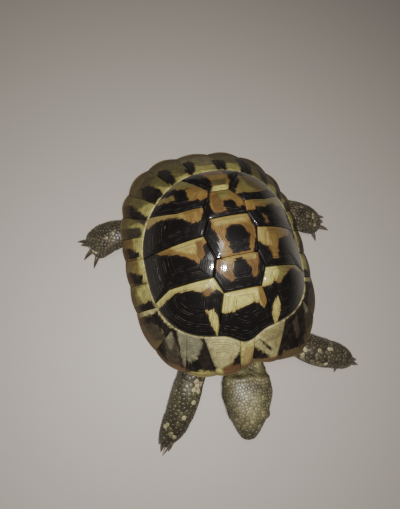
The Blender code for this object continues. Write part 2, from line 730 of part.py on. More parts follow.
LIMBS = [
    Limb("foreleg_right",
         [Section((-21.5, -45.0, 18.0), 7.2, 6.0), Section((-26.5, -56.5, 17.8), 7.8, 6.8),
          Section((-31.5, -66.0, 16.0), 8.2, 7.0), Section((-36.1, -74.5, 12.4), 8.0, 6.4),
          Section((-41.2, -82.0, 8.0), 7.2, 5.6, 6.4), Section((-45.5, -87.2, 4.6), 5.1, 4.8, 6.0),
          Section((-47.1, -90.2, 3.2), 3.4, 3.4, 4.6)],
         [((-48.8, -86.8, 2.0), (-50.7, -90.4, 0.4)), ((-48.3, -89.6, 2.6), (-50.4, -94.4, 0.5)),
          ((-45.9, -91.2, 2.8), (-49.9, -96.4, 0.5)), ((-44.2, -91.0, 2.6), (-46.4, -95.2, 0.4)),
          ((-43.4, -89.0, 2.2), (-44.6, -92.8, 0.4))]),
    Limb("foreleg_left",
         [Section((24.0, -45.0, 18.0), 7.2, 6.0), Section((35.0, -54.6, 17.6), 8.0, 6.8),
          Section((43.6, -60.2, 15.8), 8.4, 7.0), Section((52.6, -64.2, 12.0), 8.2, 6.3),
          Section((60.4, -67.4, 7.8), 7.4, 5.6, 6.4), Section((65.4, -70.4, 4.4), 5.9, 4.7, 6.0),
          Section((67.5, -72.0, 3.2), 4.3, 3.4, 4.6)],
         [((66.4, -66.6, 2.2), (69.8, -67.0, 0.4)), ((68.4, -68.8, 2.6), (72.2, -69.8, 0.4)),
          ((69.8, -71.3, 2.8), (74.3, -72.7, 0.5)), ((69.0, -73.2, 2.8), (74.4, -75.8, 0.5)),
          ((59.4, -72.6, 2.0), (57.9, -76.6, 0.4))]),
    Limb("hindleg_right",
         [Section((-32.0, 30.5, 15.8), 6.6, 5.8), Section((-44.5, 28.6, 13.6), 6.4, 5.4),
          Section((-52.2, 27.2, 13.0), 8.8, 6.6), Section((-58.6, 26.6, 10.6), 9.5, 7.0),
          Section((-63.2, 25.6, 7.0), 9.2, 6.2, 7.4), Section((-66.3, 24.1, 4.2), 8.2, 4.8, 6.0),
          Section((-67.8, 23.5, 3.4), 6.4, 3.6, 4.6)],
         [((-69.6, 28.8, 2.8), (-76.2, 30.4, 0.5)), ((-70.2, 26.8, 3.0), (-74.6, 28.0, 0.5)),
          ((-69.4, 21.8, 3.0), (-74.0, 18.6, 0.5)), ((-66.0, 18.0, 2.8), (-69.2, 12.4, 0.5))]),
    Limb("hindleg_left",
         [Section((32.0, 30.0, 15.8), 6.6, 5.8), Section((44.0, 27.2, 13.6), 6.2, 5.4),
          Section((52.8, 21.6, 13.0), 8.4, 6.6), Section((59.6, 18.8, 10.6), 9.2, 7.0),
          Section((66.0, 16.4, 7.0), 8.8, 6.2, 7.4), Section((70.8, 14.6, 4.2), 7.2, 4.8, 6.0),
          Section((72.8, 13.8, 3.4), 5.2, 3.6, 4.6)],
         [((74.4, 18.6, 2.8), (80.2, 18.0, 0.5)), ((75.0, 15.2, 3.0), (78.4, 14.8, 0.4)),
          ((74.4, 11.4, 3.0), (80.6, 9.0, 0.5)), ((68.2, 8.6, 2.8), (69.8, 3.6, 0.5))]),
]


def build_floor_cutter():
    """A block under the floor that flattens the soles."""
    reach, depth = 110.0, 20.0
    corners = [(x, y, z) for z in (-depth, 0.0) for x, y in
               ((-reach, -reach), (reach, -reach), (reach, reach), (-reach, reach))]
    return new_cutter("floor_cutter", *bridge_rings([corners[:4], corners[4:]]))


def build_limbs(trunk_cutter, floor_cutter):
    """The four legs with their claws joined to the feet."""
    made = []
    for limb in LIMBS:
        points, faces = bridge_rings(loft(limb.sections, LIMB_SIDES))
        leg = new_object(limb.name, points, faces, SKIN, 0.6)
        for number, (root, tip) in enumerate(limb.claws, start=1):
            claw = new_cutter(f"{limb.name}_claw_{number}", *cone(root, tip, limb.claw_radius))
            add_boolean(leg, claw, "UNION")
        add_boolean(leg, floor_cutter, "DIFFERENCE")
        add_boolean(leg, trunk_cutter, "DIFFERENCE")
        made.append(leg)
    return made


def head_frame():
    """The head's unit directions: towards the snout, to its left side and up."""
    forward = (SNOUT_TIP - HEAD_BACK).normalized()
    left = Vector((0.0, 0.0, 1.0)).cross(forward).normalized()
    return forward, left, forward.cross(left)


def build_head():
    """The skull and jaws as one solid with two eye sockets."""
    forward = head_frame()[0]
    sections = []
    for back, half_width, rise, drop in reversed(HEAD_SECTIONS):
        centre = SNOUT_TIP - forward * back
        sections.append(Section(tuple(centre), half_width, rise, drop, HEAD_POWER))
    points, faces = bridge_rings(loft(sections, HEAD_SIDES, facing=forward))
    head = new_object("head", points, faces, SKIN, 0.5)
    for label, side in (("left", 1.0), ("right", -1.0)):
        socket = new_cutter(f"eye_socket_{label}", *ball(eye_centre(side), EYE_RADIUS + CLEARANCE))
        add_boolean(head, socket, "DIFFERENCE")
    return head


def eye_centre(side):
    """Centre of an eye; side is 1 for the left one and -1 for the right one."""
    forward, left, up = head_frame()
    return SNOUT_TIP - forward * EYE_BACK + left * (side * EYE_OUT) + up * EYE_UP


def ball(centre, radius):
    """Points and faces of a ball with a pole at the top and at the bottom."""
    points = []
    for level in range(1, EYE_DOWN):
        tilt = math.pi * level / EYE_DOWN
        for k in range(EYE_AROUND):
            turn = 2.0 * math.pi * k / EYE_AROUND
            points.append(centre + Vector((math.sin(tilt) * math.cos(turn),
                                           math.sin(tilt) * math.sin(turn),
                                           math.cos(tilt))) * radius)
    levels = EYE_DOWN - 1
    rings = [points[k * EYE_AROUND:(k + 1) * EYE_AROUND] for k in range(levels)]
    points, faces = bridge_rings(rings)
    up = Vector((0.0, 0.0, radius))
    return points, cap_fans(points, faces, EYE_AROUND, levels, centre + up, centre - up)


def build_eyes():
    """The two eyeballs."""
    return [new_object(f"eye_{label}", *ball(eye_centre(side), EYE_RADIUS), EYE_DARK, 0.1)
            for label, side in (("left", 1.0), ("right", -1.0))]


def build_neck(trunk_cutter):
    """The neck, from the trunk to the flat back of the head."""
    forward = head_frame()[0]
    end = HEAD_BACK - forward * CLEARANCE
    sections = [Section((0.0, -38.0, 20.4), 9.6, 7.0), Section((0.4, -50.0, 20.4), 11.0, 7.8),
                Section((0.6, -57.0, 20.9), 11.9, 8.0), Section((0.5, -60.2, 22.0), 12.2, 7.8),
                Section(tuple(end), 12.0, 7.0, 7.5, 2.1)]
    points, faces = bridge_rings(loft(sections, NECK_SIDES, facing=forward))
    neck = new_object("neck", points, faces, SKIN, 0.6)
    add_boolean(neck, trunk_cutter, "DIFFERENCE")
    return neck


def build_tail(trunk_cutter):
    """A short tail, curled to the left under the shell's rear edge."""
    sections = [Section((0.0, 38.0, 15.0), 5.6, 4.2), Section((1.2, 49.0, 14.6), 5.2, 4.2),
                Section((5.2, 56.0, 13.0), 4.0, 3.4), Section((10.2, 58.6, 11.2), 2.7, 2.4),
                Section((15.0, 58.4, 9.8), 1.5, 1.4), Section((18.0, 57.2, 9.2), 0.7, 0.7)]
    points, faces = bridge_rings(loft(sections, TAIL_SIDES))
    tail = new_object("tail", points, faces, SKIN, 0.6)
    add_boolean(tail, trunk_cutter, "DIFFERENCE")
    return tail


def move_to_origin(parts):
    """Moves the parts so that the model's box stands centred on the origin."""
    bpy.context.view_layer.update()
    graph = bpy.context.evaluated_depsgraph_get()
    corners = []
    for item in parts:
        shown = item.evaluated_get(graph)
        corners += [vertex.co.copy() for vertex in shown.data.vertices]
    low = Vector(min(c[k] for c in corners) for k in range(3))
    high = Vector(max(c[k] for c in corners) for k in range(3))
    shift = Vector((-(low.x + high.x) / 2, -(low.y + high.y) / 2, -low.z))
    for item in bpy.data.objects:
        item.location += shift


def main():
    """Builds the whole tortoise."""
    clear_scene()
    parts = build_vertebrals() + build_costals() + build_marginals() + build_plastron()
    trunk_cutter = build_trunk_cutter()
    floor_cutter = build_floor_cutter()
    parts.append(build_trunk())
    parts += build_limbs(trunk_cutter, floor_cutter)
    parts += [build_head(), build_neck(trunk_cutter), build_tail(trunk_cutter)]
    parts += build_eyes()
    move_to_origin(parts)


main()
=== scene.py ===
"""Looks of a young Hermann's tortoise that stands with its head out and its legs stretched.

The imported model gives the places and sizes. The horny plates are built again in fine detail
over the same shell form, one skin covers the flesh, and scales, claws and eyes are pieces of
their own. Sizes with no unit in their name are millimetres in the shell's own
frame; Frame.to_metres() turns them into the model's metres.
"""

import logging
import math
from collections.abc import Callable
from dataclasses import dataclass, field
from enum import Enum
from functools import partial
from itertools import product

import bmesh
import bpy
import numpy as np
from mathutils import Matrix, Vector
from mathutils.bvhtree import BVHTree
from mathutils.kdtree import KDTree


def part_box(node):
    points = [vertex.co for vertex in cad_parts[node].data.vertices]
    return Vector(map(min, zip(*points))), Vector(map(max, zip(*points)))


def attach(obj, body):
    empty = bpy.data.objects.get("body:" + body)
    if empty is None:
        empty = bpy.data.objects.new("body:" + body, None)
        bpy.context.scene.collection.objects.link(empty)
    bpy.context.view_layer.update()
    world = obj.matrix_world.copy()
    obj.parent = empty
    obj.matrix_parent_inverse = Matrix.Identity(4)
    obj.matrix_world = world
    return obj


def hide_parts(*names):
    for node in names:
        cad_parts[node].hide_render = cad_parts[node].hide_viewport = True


log = logging.getLogger("tortoise")

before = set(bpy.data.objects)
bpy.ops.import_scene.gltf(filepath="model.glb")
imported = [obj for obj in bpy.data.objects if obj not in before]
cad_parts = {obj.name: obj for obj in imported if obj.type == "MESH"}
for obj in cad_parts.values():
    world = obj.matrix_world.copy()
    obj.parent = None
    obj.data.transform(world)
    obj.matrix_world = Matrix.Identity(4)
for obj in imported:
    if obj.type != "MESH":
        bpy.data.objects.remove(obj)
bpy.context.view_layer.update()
MM = 0.001
BODY = "root"
SEED = 7


# ------------------------------------------------------------------ small helpers

def smooth_step(value: np.ndarray, low: float, high: float) -> np.ndarray:
    """0 below low, 1 above high, smooth between."""
    share = np.clip((np.asarray(value, float) - low) / (high - low), 0.0, 1.0)
    return share * share * (3.0 - 2.0 * share)


def unit(vectors: np.ndarray) -> np.ndarray:
    """Vectors scaled to length 1 along their last axis."""
    length = np.linalg.norm(vectors, axis=-1, keepdims=True)
    return vectors / np.maximum(length, 1e-12)


def wave_noise(points: np.ndarray, size: float, seed: int) -> np.ndarray:
    """Smooth noise from -1 to 1, made of a few turned sine waves.

    Args:
        points: places, with x, y and z in the last axis.
        size: length of the main waves, in the points' unit.
        seed: picks the directions and phases.

    Returns:
        One value for each point.
    """
    rng = np.random.default_rng(seed)
    total = np.zeros(points.shape[:-1])
    for _ in range(9):
        direction = unit(rng.normal(size=3))
        length = size * rng.uniform(0.6, 1.5)
        total += np.sin(points @ direction * (2.0 * math.pi / length) + rng.uniform(0.0, 6.3))
    return total / 4.5


def add_object(name: str, data: bpy.types.ID) -> bpy.types.Object:
    """Adds an object to the scene."""
    item = bpy.data.objects.new(name, data)
    bpy.context.scene.collection.objects.link(item)
    return item


def store(mesh: bpy.types.Mesh, name: str, numbers: np.ndarray) -> None:
    """Stores one number, or one vector, for each point of a mesh."""
    numbers = np.asarray(numbers, np.float32)
    kind, key = ("FLOAT_VECTOR", "vector") if numbers.ndim > 1 else ("FLOAT", "value")
    mesh.attributes.new(name, kind, "POINT").data.foreach_set(key, numbers.ravel())


@dataclass(frozen=True)
class Frame:
    """Ties the shell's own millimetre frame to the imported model."""

    origin: np.ndarray

    @classmethod
    def from_shell(cls, rear_edge: float) -> "Frame":
        """Reads the frame from the plate over the tail, whose rear edge is at a known place."""
        low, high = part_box("supracaudal_scute")
        return cls(np.array([(low.x + high.x) / 2, high.y - rear_edge * MM, 0.0]))

    def to_metres(self, points: np.ndarray) -> np.ndarray:
        """Points of the shell's frame as places in the model."""
        return np.asarray(points, float) * MM + self.origin


# ------------------------------------------------------------------ shader tools

def add_node(tree: bpy.types.NodeTree, kind: str, settings: dict | None = None,
             **sockets: object) -> bpy.types.Node:
    """Adds a node.

    Args:
        tree: the node tree.
        kind: the node's type.
        settings: properties, which are set first.
        sockets: values, signals or other nodes' sockets by socket name, with _ for a space.

    Returns:
        The node.
    """
    node = tree.nodes.new(kind)
    for key, value in (settings or {}).items():
        setattr(node, key, value)
    for key, value in sockets.items():
        feed_socket(tree, node.inputs[key.replace("_", " ")], value)
    return node


def feed_socket(tree: bpy.types.NodeTree, socket: bpy.types.NodeSocket, value: object) -> None:
    """Links a signal or a socket to a socket, or sets the socket's own value."""
    source = value.socket if isinstance(value, Signal) else value
    if isinstance(source, bpy.types.NodeSocket):
        tree.links.new(source, socket)
    else:
        socket.default_value = source


class Signal:
    """A shader socket that takes part in Python maths."""

    def __init__(self, tree: bpy.types.NodeTree, socket: bpy.types.NodeSocket) -> None:
        """Keeps the tree and the socket."""
        self.tree = tree
        self.socket = socket

    def _math(self, operation: str, *values: "Signal | float") -> "Signal":
        """The result of a Math node on signals or numbers."""
        node = add_node(self.tree, "ShaderNodeMath", {"operation": operation})
        for socket, value in zip(node.inputs, values):
            feed_socket(self.tree, socket, value)
        return Signal(self.tree, node.outputs[0])

    def __add__(self, other: "Signal | float") -> "Signal":
        """The sum."""
        return self._math("ADD", self, other)

    def __radd__(self, other: float) -> "Signal":
        """The sum, from the right."""
        return self._math("ADD", other, self)

    def __sub__(self, other: "Signal | float") -> "Signal":
        """The difference."""
        return self._math("SUBTRACT", self, other)

    def __rsub__(self, other: float) -> "Signal":
        """The difference, from the right."""
        return self._math("SUBTRACT", other, self)

    def __mul__(self, other: "Signal | float") -> "Signal":
        """The product."""
        return self._math("MULTIPLY", self, other)

    def __rmul__(self, other: float) -> "Signal":
        """The product, from the right."""
        return self._math("MULTIPLY", other, self)

    def __truediv__(self, other: "Signal | float") -> "Signal":
        """The quotient."""
        return self._math("DIVIDE", self, other)

    def floor(self) -> "Signal":
        """The whole number below."""
        return self._math("FLOOR", self)

    def fraction(self) -> "Signal":
        """What is left over the whole number below."""
        return self._math("FRACT", self)

    def absolute(self) -> "Signal":
        """The value without its sign."""
        return self._math("ABSOLUTE", self)

    def step(self, low: float, high: float) -> "Signal":
        """0 below low, 1 above high, smooth between."""
        node = add_node(self.tree, "ShaderNodeMapRange", {"interpolation_type": "SMOOTHSTEP"},
                        Value=self, From_Min=low, From_Max=high)
        return Signal(self.tree, node.outputs["Result"])


class Finish:
    """A material under construction, with its Principled shader."""

    def __init__(self, name: str, roughness: float = 0.5, coat: float = 0.0,
                 coat_roughness: float = 0.1, specular: float = 0.5) -> None:
        """Makes the material and sets the shader's fixed values.

        Args:
            name: the material's name.
            roughness: roughness of the base.
            coat: weight of the clear coat.
            coat_roughness: roughness of the clear coat.
            specular: specular level.
        """
        self.material = bpy.data.materials.new(name)
        self.material.use_nodes = True
        self.tree = self.material.node_tree
        self.shader = self.tree.nodes["Principled BSDF"]
        self.shader.inputs["Roughness"].default_value = roughness
        self.shader.inputs["Coat Weight"].default_value = coat
        self.shader.inputs["Coat Roughness"].default_value = coat_roughness
        self.shader.inputs["Specular IOR Level"].default_value = specular

    def node(self, kind: str, settings: dict | None = None, **sockets: object) -> bpy.types.Node:
        """Adds a node to the material; see add_node."""
        return add_node(self.tree, kind, settings, **sockets)

    def attribute(self, name: str, output: str = "Fac") -> Signal:
        """A number stored on the mesh, or a colour with the output named Color."""
        node = self.node("ShaderNodeAttribute", {"attribute_name": name})
        return Signal(self.tree, node.outputs[output])

    def shade(self, colour: Signal, factor: Signal) -> Signal:
        """A colour made lighter or darker by a factor."""
        node = self.node("ShaderNodeVectorMath", {"operation": "SCALE"}, Vector=colour, Scale=factor)
        return Signal(self.tree, node.outputs["Vector"])

    def place(self) -> Signal:
        """Object coordinates."""
        node = self.node("ShaderNodeTexCoord")
        return Signal(self.tree, node.outputs["Object"])

    def noise(self, size: float, detail: float = 3.0, rough: float = 0.55) -> Signal:
        """Noise from 0 to 1 whose main features have a size in millimetres."""
        node = self.node("ShaderNodeTexNoise", Vector=self.place(), Scale=1.0 / (size * MM),
                         Detail=detail, Roughness=rough)
        return Signal(self.tree, node.outputs["Fac"])

    def random(self, value: Signal) -> Signal:
        """A random number from 0 to 1 for each value."""
        node = self.node("ShaderNodeTexWhiteNoise", {"noise_dimensions": "1D"}, W=value)
        return Signal(self.tree, node.outputs["Value"])

    def mix(self, share: "Signal | float", low: "Signal | tuple", high: "Signal | tuple") -> Signal:
        """A colour between two others.

        Args:
            share: 0 for the first, 1 for the second.
            low: a colour, or a signal of one.
            high: a colour, or a signal of one.

        Returns:
            The mixed colour.
        """
        node = self.node("ShaderNodeMix", {"data_type": "RGBA"})
        for index, value in ((0, share), (6, low), (7, high)):
            feed_socket(self.tree, node.inputs[index],
                        (*value, 1.0) if isinstance(value, tuple) else value)
        return Signal(self.tree, node.outputs[2])

    def ramp(self, value: Signal, stops: list[tuple[float, tuple]]) -> Signal:
        """A colour from a ramp.

        Args:
            value: place on the ramp.
            stops: places and colours.

        Returns:
            The colour.
        """
        node = self.node("ShaderNodeValToRGB", Fac=value)
        elements = node.color_ramp.elements
        while len(elements) < len(stops):
            elements.new(0.5)
        for element, (place, colour) in zip(elements, stops):
            element.position = place
            element.color = (*colour, 1.0)
        return Signal(self.tree, node.outputs["Color"])

    def feed(self, socket: str, value: Signal) -> None:
        """Links a signal to one of the shader's inputs."""
        self.tree.links.new(value.socket, self.shader.inputs[socket])

    def bump(self, height: Signal, depth: float, strength: float = 1.0) -> None:
        """Adds relief to the surface; depth is its height in millimetres."""
        node = self.node("ShaderNodeBump", Strength=strength, Distance=depth * MM, Height=height)
        self.feed("Normal", Signal(self.tree, node.outputs["Normal"]))


# ------------------------------------------------------------------ the shell's form

@dataclass(frozen=True)
class Oval:
    """An egg-shaped outline in plan, about a centre."""

    half_width: float
    front_reach: float
    rear_reach: float
    front_power: float
    rear_power: float

    def reach(self, across: np.ndarray, along: np.ndarray) -> np.ndarray:
        """Distance from the centre to the outline along a unit plan direction."""
        span = np.where(along < 0, self.front_reach, self.rear_reach)
        power = np.where(along < 0, self.front_power, self.rear_power)
        total = np.abs(across / self.half_width) ** power + np.abs(along / span) ** power
        return total ** (-1.0 / power)


@dataclass(frozen=True)
class ShellForm(Oval):
    """The dome: an oval rim, and a height over each plan point."""

    half_width: float = 49.8
    front_reach: float = 62.3
    rear_reach: float = 63.5
    front_power: float = 2.95
    rear_power: float = 2.65
    top: float = 67.0
    rim_side: float = 24.0
    rim_front_lift: float = 9.5
    rim_rear_drop: float = 6.5
    centre_y: float = 2.5
    crown_power: float = 2.25
    flank_power: float = 0.90

    def polar(self, x: np.ndarray, y: np.ndarray) -> tuple[np.ndarray, np.ndarray, np.ndarray]:
        """Distance of plan points from the centre, and their unit direction across and along."""
        away = np.maximum(np.hypot(x, y - self.centre_y), 1e-6)
        return away, x / away, (y - self.centre_y) / away

    def rim_height(self, along: np.ndarray) -> np.ndarray:
        """Height of the rim's edge: lifted over the neck, lower at the tail."""
        lift = np.where(along < 0, self.rim_front_lift, -self.rim_rear_drop)
        return self.rim_side + lift * along * along

    def height(self, x: np.ndarray, y: np.ndarray) -> np.ndarray:
        """Height of the dome over plan points."""
        away, across, along = self.polar(x, y)
        share = np.minimum(1.0, away / self.reach(across, along))
        base = self.rim_height(along)
        fall = np.maximum(0.0, 1.0 - share ** self.crown_power)
        return base + (self.top - base) * fall ** (1.0 / self.flank_power)

    def normal(self, x: np.ndarray, y: np.ndarray) -> np.ndarray:
        """Outward unit normals, taken just inside the rim."""
        away, across, along = self.polar(x, y)
        kept = np.minimum(away, 0.96 * self.reach(across, along))
        x, y = across * kept, self.centre_y + along * kept
        step = 0.5
        slope_x = (self.height(x + step, y) - self.height(x - step, y)) / (2 * step)
        slope_y = (self.height(x, y + step) - self.height(x, y - step)) / (2 * step)
        return unit(np.stack([-slope_x, -slope_y, np.ones_like(slope_x)], axis=-1))

    def point(self, plan: np.ndarray, depth: "np.ndarray | float" = 0.0) -> np.ndarray:
        """Points on the dome, or at a depth under it."""
        x, y = plan[..., 0], plan[..., 1]
        depth = np.broadcast_to(np.asarray(depth, float), x.shape)
        surface = np.stack([x, y, self.height(x, y)], axis=-1)
        return surface - self.normal(x, y) * depth[..., None]


@dataclass(frozen=True)
class SeamForm:
    """Where the seams between the plates run."""

    shell: ShellForm
    outline: Oval = Oval(41.0, 44.0, 38.5, 3.0, 2.0)
    nuchal_peak: float = 0.11
    nuchal_angle: float = 9.0
    ring_seams: tuple = (4.0, 26.2, 35.3, 43.7, 58.9, 76.4, 93.5, 108.6, 120.0, 131.5, 148.3, 167.0)
    rim_seams: tuple = (3.3, 14.5, 28.3, 44.7, 65.0, 80.4, 96.2, 110.0, 123.5, 137.0, 154.5, 171.3)
    vertebral_front: float = 18.0
    costal_angles: tuple = (61.5, 92.5, 121.5)
    vertebral_rear: float = 156.5

    @staticmethod
    def direction(angle: np.ndarray) -> np.ndarray:
        """Unit plan directions at angles from the nose, in degrees, towards the left side."""
        turn = np.radians(angle)
        return np.stack([np.sin(turn), -np.cos(turn)], axis=-1)

    def ring(self, angle: np.ndarray) -> np.ndarray:
        """Plan points of the seam ring between costal and marginal plates."""
        way = self.direction(np.asarray(angle, float))
        across, along = way[..., 0], way[..., 1]
        off_nose = np.degrees(np.arccos(np.clip(-along, -1.0, 1.0)))
        peak = 1.0 + self.nuchal_peak * np.exp(-(off_nose / self.nuchal_angle) ** 2)
        reach = self.outline.reach(across, along) * peak
        return way * reach[..., None] + np.array([0.0, self.shell.centre_y])

    def rim(self, angle: np.ndarray, extra: "np.ndarray | float" = 0.0) -> np.ndarray:
        """Plan points of the rim, moved outwards by an extra."""
        way = self.direction(np.asarray(angle, float))
        reach = self.shell.reach(way[..., 0], way[..., 1]) + extra
        return way * reach[..., None] + np.array([0.0, self.shell.centre_y])

    def arc(self, low: float, high: float, step: float = 0.7) -> np.ndarray:
        """Plan points along the ring between two angles."""
        count = max(2, int(abs(high - low) / step) + 1)
        return self.ring(np.linspace(low, high, count))


# ------------------------------------------------------------------ markings of the horn

class Tone(Enum):
    """Horn colours."""

    LEMON = (0.43, 0.395, 0.120)
    CREAM = (0.42, 0.380, 0.165)
    STRAW = (0.48, 0.350, 0.125)
    SAND = (0.35, 0.290, 0.090)
    BUFF = (0.28, 0.215, 0.070)
    KHAKI = (0.27, 0.235, 0.100)
    OCHRE = (0.19, 0.122, 0.036)
    AMBER = (0.115, 0.070, 0.024)
    RUST = (0.130, 0.070, 0.032)
    GREEN = (0.155, 0.137, 0.044)
    OLIVE = (0.085, 0.068, 0.026)
    GREY = (0.180, 0.178, 0.112)
    DUSK = (0.036, 0.034, 0.024)


@dataclass(frozen=True)
class Patch:
    """A pale or a black area, by its outline in plan."""

    outline: tuple
    tone: Tone | None = None          # no tone makes it black

    def inside(self, plan: np.ndarray) -> np.ndarray:
        """How far plan points lie inside the outline; negative outside."""
        corners = np.array(self.outline, float)
        after = np.roll(corners, -1, axis=0)
        points = plan[:, None, :]
        edge = after - corners
        along = ((points - corners) * edge).sum(-1) / (edge * edge).sum(-1)
        nearest = corners + edge * np.clip(along, 0.0, 1.0)[..., None]
        distance = np.linalg.norm(points - nearest, axis=-1).min(axis=1)
        crosses = (corners[:, 1] > points[..., 1]) != (after[:, 1] > points[..., 1])
        rise = np.where(edge[:, 1] == 0.0, 1e-9, edge[:, 1])
        reach = corners[:, 0] + (points[..., 1] - corners[:, 1]) * edge[:, 0] / rise
        odd = (crosses & (points[..., 0] < reach)).sum(axis=1) % 2
        return np.where(odd == 1, distance, -distance)


@dataclass(frozen=True)
class Markings:
    """How one plate is coloured: a ground, and patches laid on it in order."""

    ground: Tone | None
    patches: tuple = ()

    def mirrored(self) -> "Markings":
        """The same markings on the other side."""
        return Markings(self.ground, tuple(
            Patch(tuple((-x, y) for x, y in patch.outline), patch.tone) for patch in self.patches))

    def paint(self, plan: np.ndarray) -> tuple[np.ndarray, np.ndarray]:
        """Works out the colour values of plan points.

        Args:
            plan: plan points, one per row.

        Returns:
            How far each point is inside a pale area, and its colour.
        """
        pale = np.full(len(plan), -6.0 if self.ground is None else 6.0)
        first = next((patch.tone for patch in self.patches if patch.tone), Tone.STRAW)
        tone = np.tile((self.ground or first).value, (len(plan), 1))
        for patch in self.patches:
            depth = patch.inside(plan)
            if patch.tone is None:
                pale = np.minimum(pale, -depth)
            else:
                pale = np.maximum(pale, depth)
                share = smooth_step(depth, -1.3, 0.2)[:, None]
                tone = tone + (np.array(patch.tone.value) - tone) * share
        return pale, tone


def black(*outline: tuple) -> Patch:
    """A black area."""
    return Patch(outline)


def pale(tone: Tone, *outline: tuple) -> Patch:
    """A pale area."""
    return Patch(outline, tone)


VERTEBRAL_MARKINGS = (
    Markings(None, (
        pale(Tone.LEMON, (-10, -22), (9, -22), (10.6, -27), (10.6, -30), (8.5, -32), (5.8, -29.2),
             (3, -28.8), (-2, -30), (-6, -31), (-12, -30.8)),
        pale(Tone.OCHRE, (7, -22), (9.5, -22), (10.6, -27), (10.6, -30), (8.5, -31.6), (7, -28)))),
    Markings(None, (
        pale(Tone.AMBER, (-9.5, -8), (9.5, -8), (8.9, -12), (8.2, -16.4), (6.6, -19), (4.4, -18),
             (-3.4, -17), (-5, -18.6), (-8.6, -15.4), (-10.6, -11.4)),
        pale(Tone.BUFF, (-7, -6.5), (8.6, -6.5), (7.4, -10), (1, -9.4), (-6, -10.4)),
        black((-1.2, -9.2), (1.2, -8.8), (3, -11), (4.8, -14), (5.6, -20), (-3, -20), (-3.6, -14),
              (-2.6, -11)))),
    Markings(None, (
        pale(Tone.OCHRE, (-8.6, 12), (9.2, 12), (9.6, 7), (10.9, 3.4), (10.1, -1), (8.4, -4.2),
             (7.4, -8.5), (-7.6, -8.5), (-6.4, -3), (-7.2, 2), (-8.2, 6)),
        pale(Tone.BUFF, (-9, 12), (9.4, 12), (8.2, 7.6), (1.5, 6.8), (-6.6, 7.2)),
        pale(Tone.AMBER, (6.6, 5.6), (9.6, 3.6), (9.2, -0.6), (7.4, -3.6), (7, 1)),
        black((-2.6, 5), (0, 6), (4, 5.5), (6.5, 3), (7.5, 0), (6, -3), (6.6, -6.9), (-2.2, -6.9),
              (-3, -3), (-3.6, 1)))),
    Markings(None, (
        pale(Tone.OCHRE, (-4.6, 27), (4.6, 27), (7.6, 21.6), (9, 18), (8.8, 15), (6, 13.8),
             (3, 12.6), (-5.4, 12.8), (-6.6, 16), (-6.4, 20), (-5.4, 23)),
        pale(Tone.AMBER, (-4.8, 22), (-2.2, 22.5), (-1.2, 17), (-1.8, 13.6), (-5, 14)),
        pale(Tone.GREEN, (-1, 24.4), (3.6, 23.6), (3, 20.4), (-1, 20.4)),
        black((-0.6, 18.2), (3.2, 18.7), (5.2, 16.8), (5.4, 14.8), (9, 13), (9.6, 10.6), (0.6, 10.6),
              (-0.8, 15.4)))),
    Markings(Tone.OCHRE, (
        pale(Tone.LEMON, (-3.4, 24), (4.4, 24), (4.6, 28), (-2.2, 28.4)),
        pale(Tone.OLIVE, (-3, 28.6), (4, 28.4), (5, 31.2), (-6, 31.4)),
        pale(Tone.RUST, (-7, 36.8), (4, 36.8), (5, 42), (-7, 42)),
        black((-17, 38.5), (-10, 41), (-6, 39.6), (-3.4, 35), (-2.2, 31.6), (-2.4, 28.4), (-4.6, 24),
              (-9, 30), (-14, 35)),
        black((4, 41), (8.2, 42), (17, 39), (13, 33), (9, 28.6), (4.6, 24), (5.4, 28), (7, 31),
              (7, 35)))),
)

COSTAL_MARKINGS_RIGHT = (
    Markings(None, (
        pale(Tone.LEMON, (-42, -19), (-36, -15), (-32, -12), (-18, -12), (-10.5, -14),
             (-8.6, -23.2), (-12, -20), (-14.6, -21.2), (-17, -20.6), (-20, -19), (-24, -17.6),
             (-29, -17.4), (-34, -19.6), (-38.5, -22.4)),
        pale(Tone.LEMON, (-17.6, -28), (-14.6, -28.4), (-13, -32), (-12.8, -37), (-13.8, -41.6),
             (-15.4, -37), (-16.8, -32.4)),
        pale(Tone.AMBER, (-18, -21.6), (-15, -22), (-13.8, -20.6), (-15, -19), (-17.4, -20)))),
    Markings(None, (
        pale(Tone.OCHRE, (-43, 12), (-36, 10), (-22, 7), (-11.5, 6), (-12.4, 1), (-14.2, -1),
             (-15, -5.4), (-16.8, -7.6), (-18.6, -6), (-21, -3.4), (-25, -0.8), (-31, 1.6),
             (-36, 5), (-40, 7.5)),
        pale(Tone.SAND, (-30, 7), (-20, 6.5), (-13, 5), (-15, 2), (-17, -2.6), (-20, -1.4), (-25, 1.6)),
        pale(Tone.AMBER, (-16.2, 2), (-14.2, 2), (-14.2, -4), (-15.6, -6.6), (-16.6, -4)))),
    Markings(None, (
        pale(Tone.BUFF, (-39, 20), (-36, 26), (-28, 24), (-22, 22), (-9, 20), (-10.5, 15.5),
             (-12, 12.4), (-14, 10.8), (-17, 11.6), (-19, 14), (-22, 16.3), (-27, 18), (-32, 18.8),
             (-35, 17.6)),
        pale(Tone.OCHRE, (-19, 18), (-12, 18), (-11.6, 14), (-14, 11.4), (-17, 12.6)))),
    Markings(None, (
        pale(Tone.GREEN, (-25, 35.5), (-16.5, 40), (-12, 40), (-9.5, 32.6), (-4, 29), (-5, 26),
             (-8, 27.5), (-12, 29.6), (-15, 29.8), (-17, 30.4), (-20, 32.6), (-24, 33.4)),
        pale(Tone.OCHRE, (-15, 29.6), (-12, 30.6), (-8, 29), (-5, 27.4), (-6.6, 23), (-9.4, 21.4),
             (-12.5, 22.2), (-14.9, 22.8)),
        pale(Tone.GREEN, (-28, 30.4), (-20.4, 28.4), (-20.6, 25.2), (-26, 26.6), (-31, 28.4)))),
)

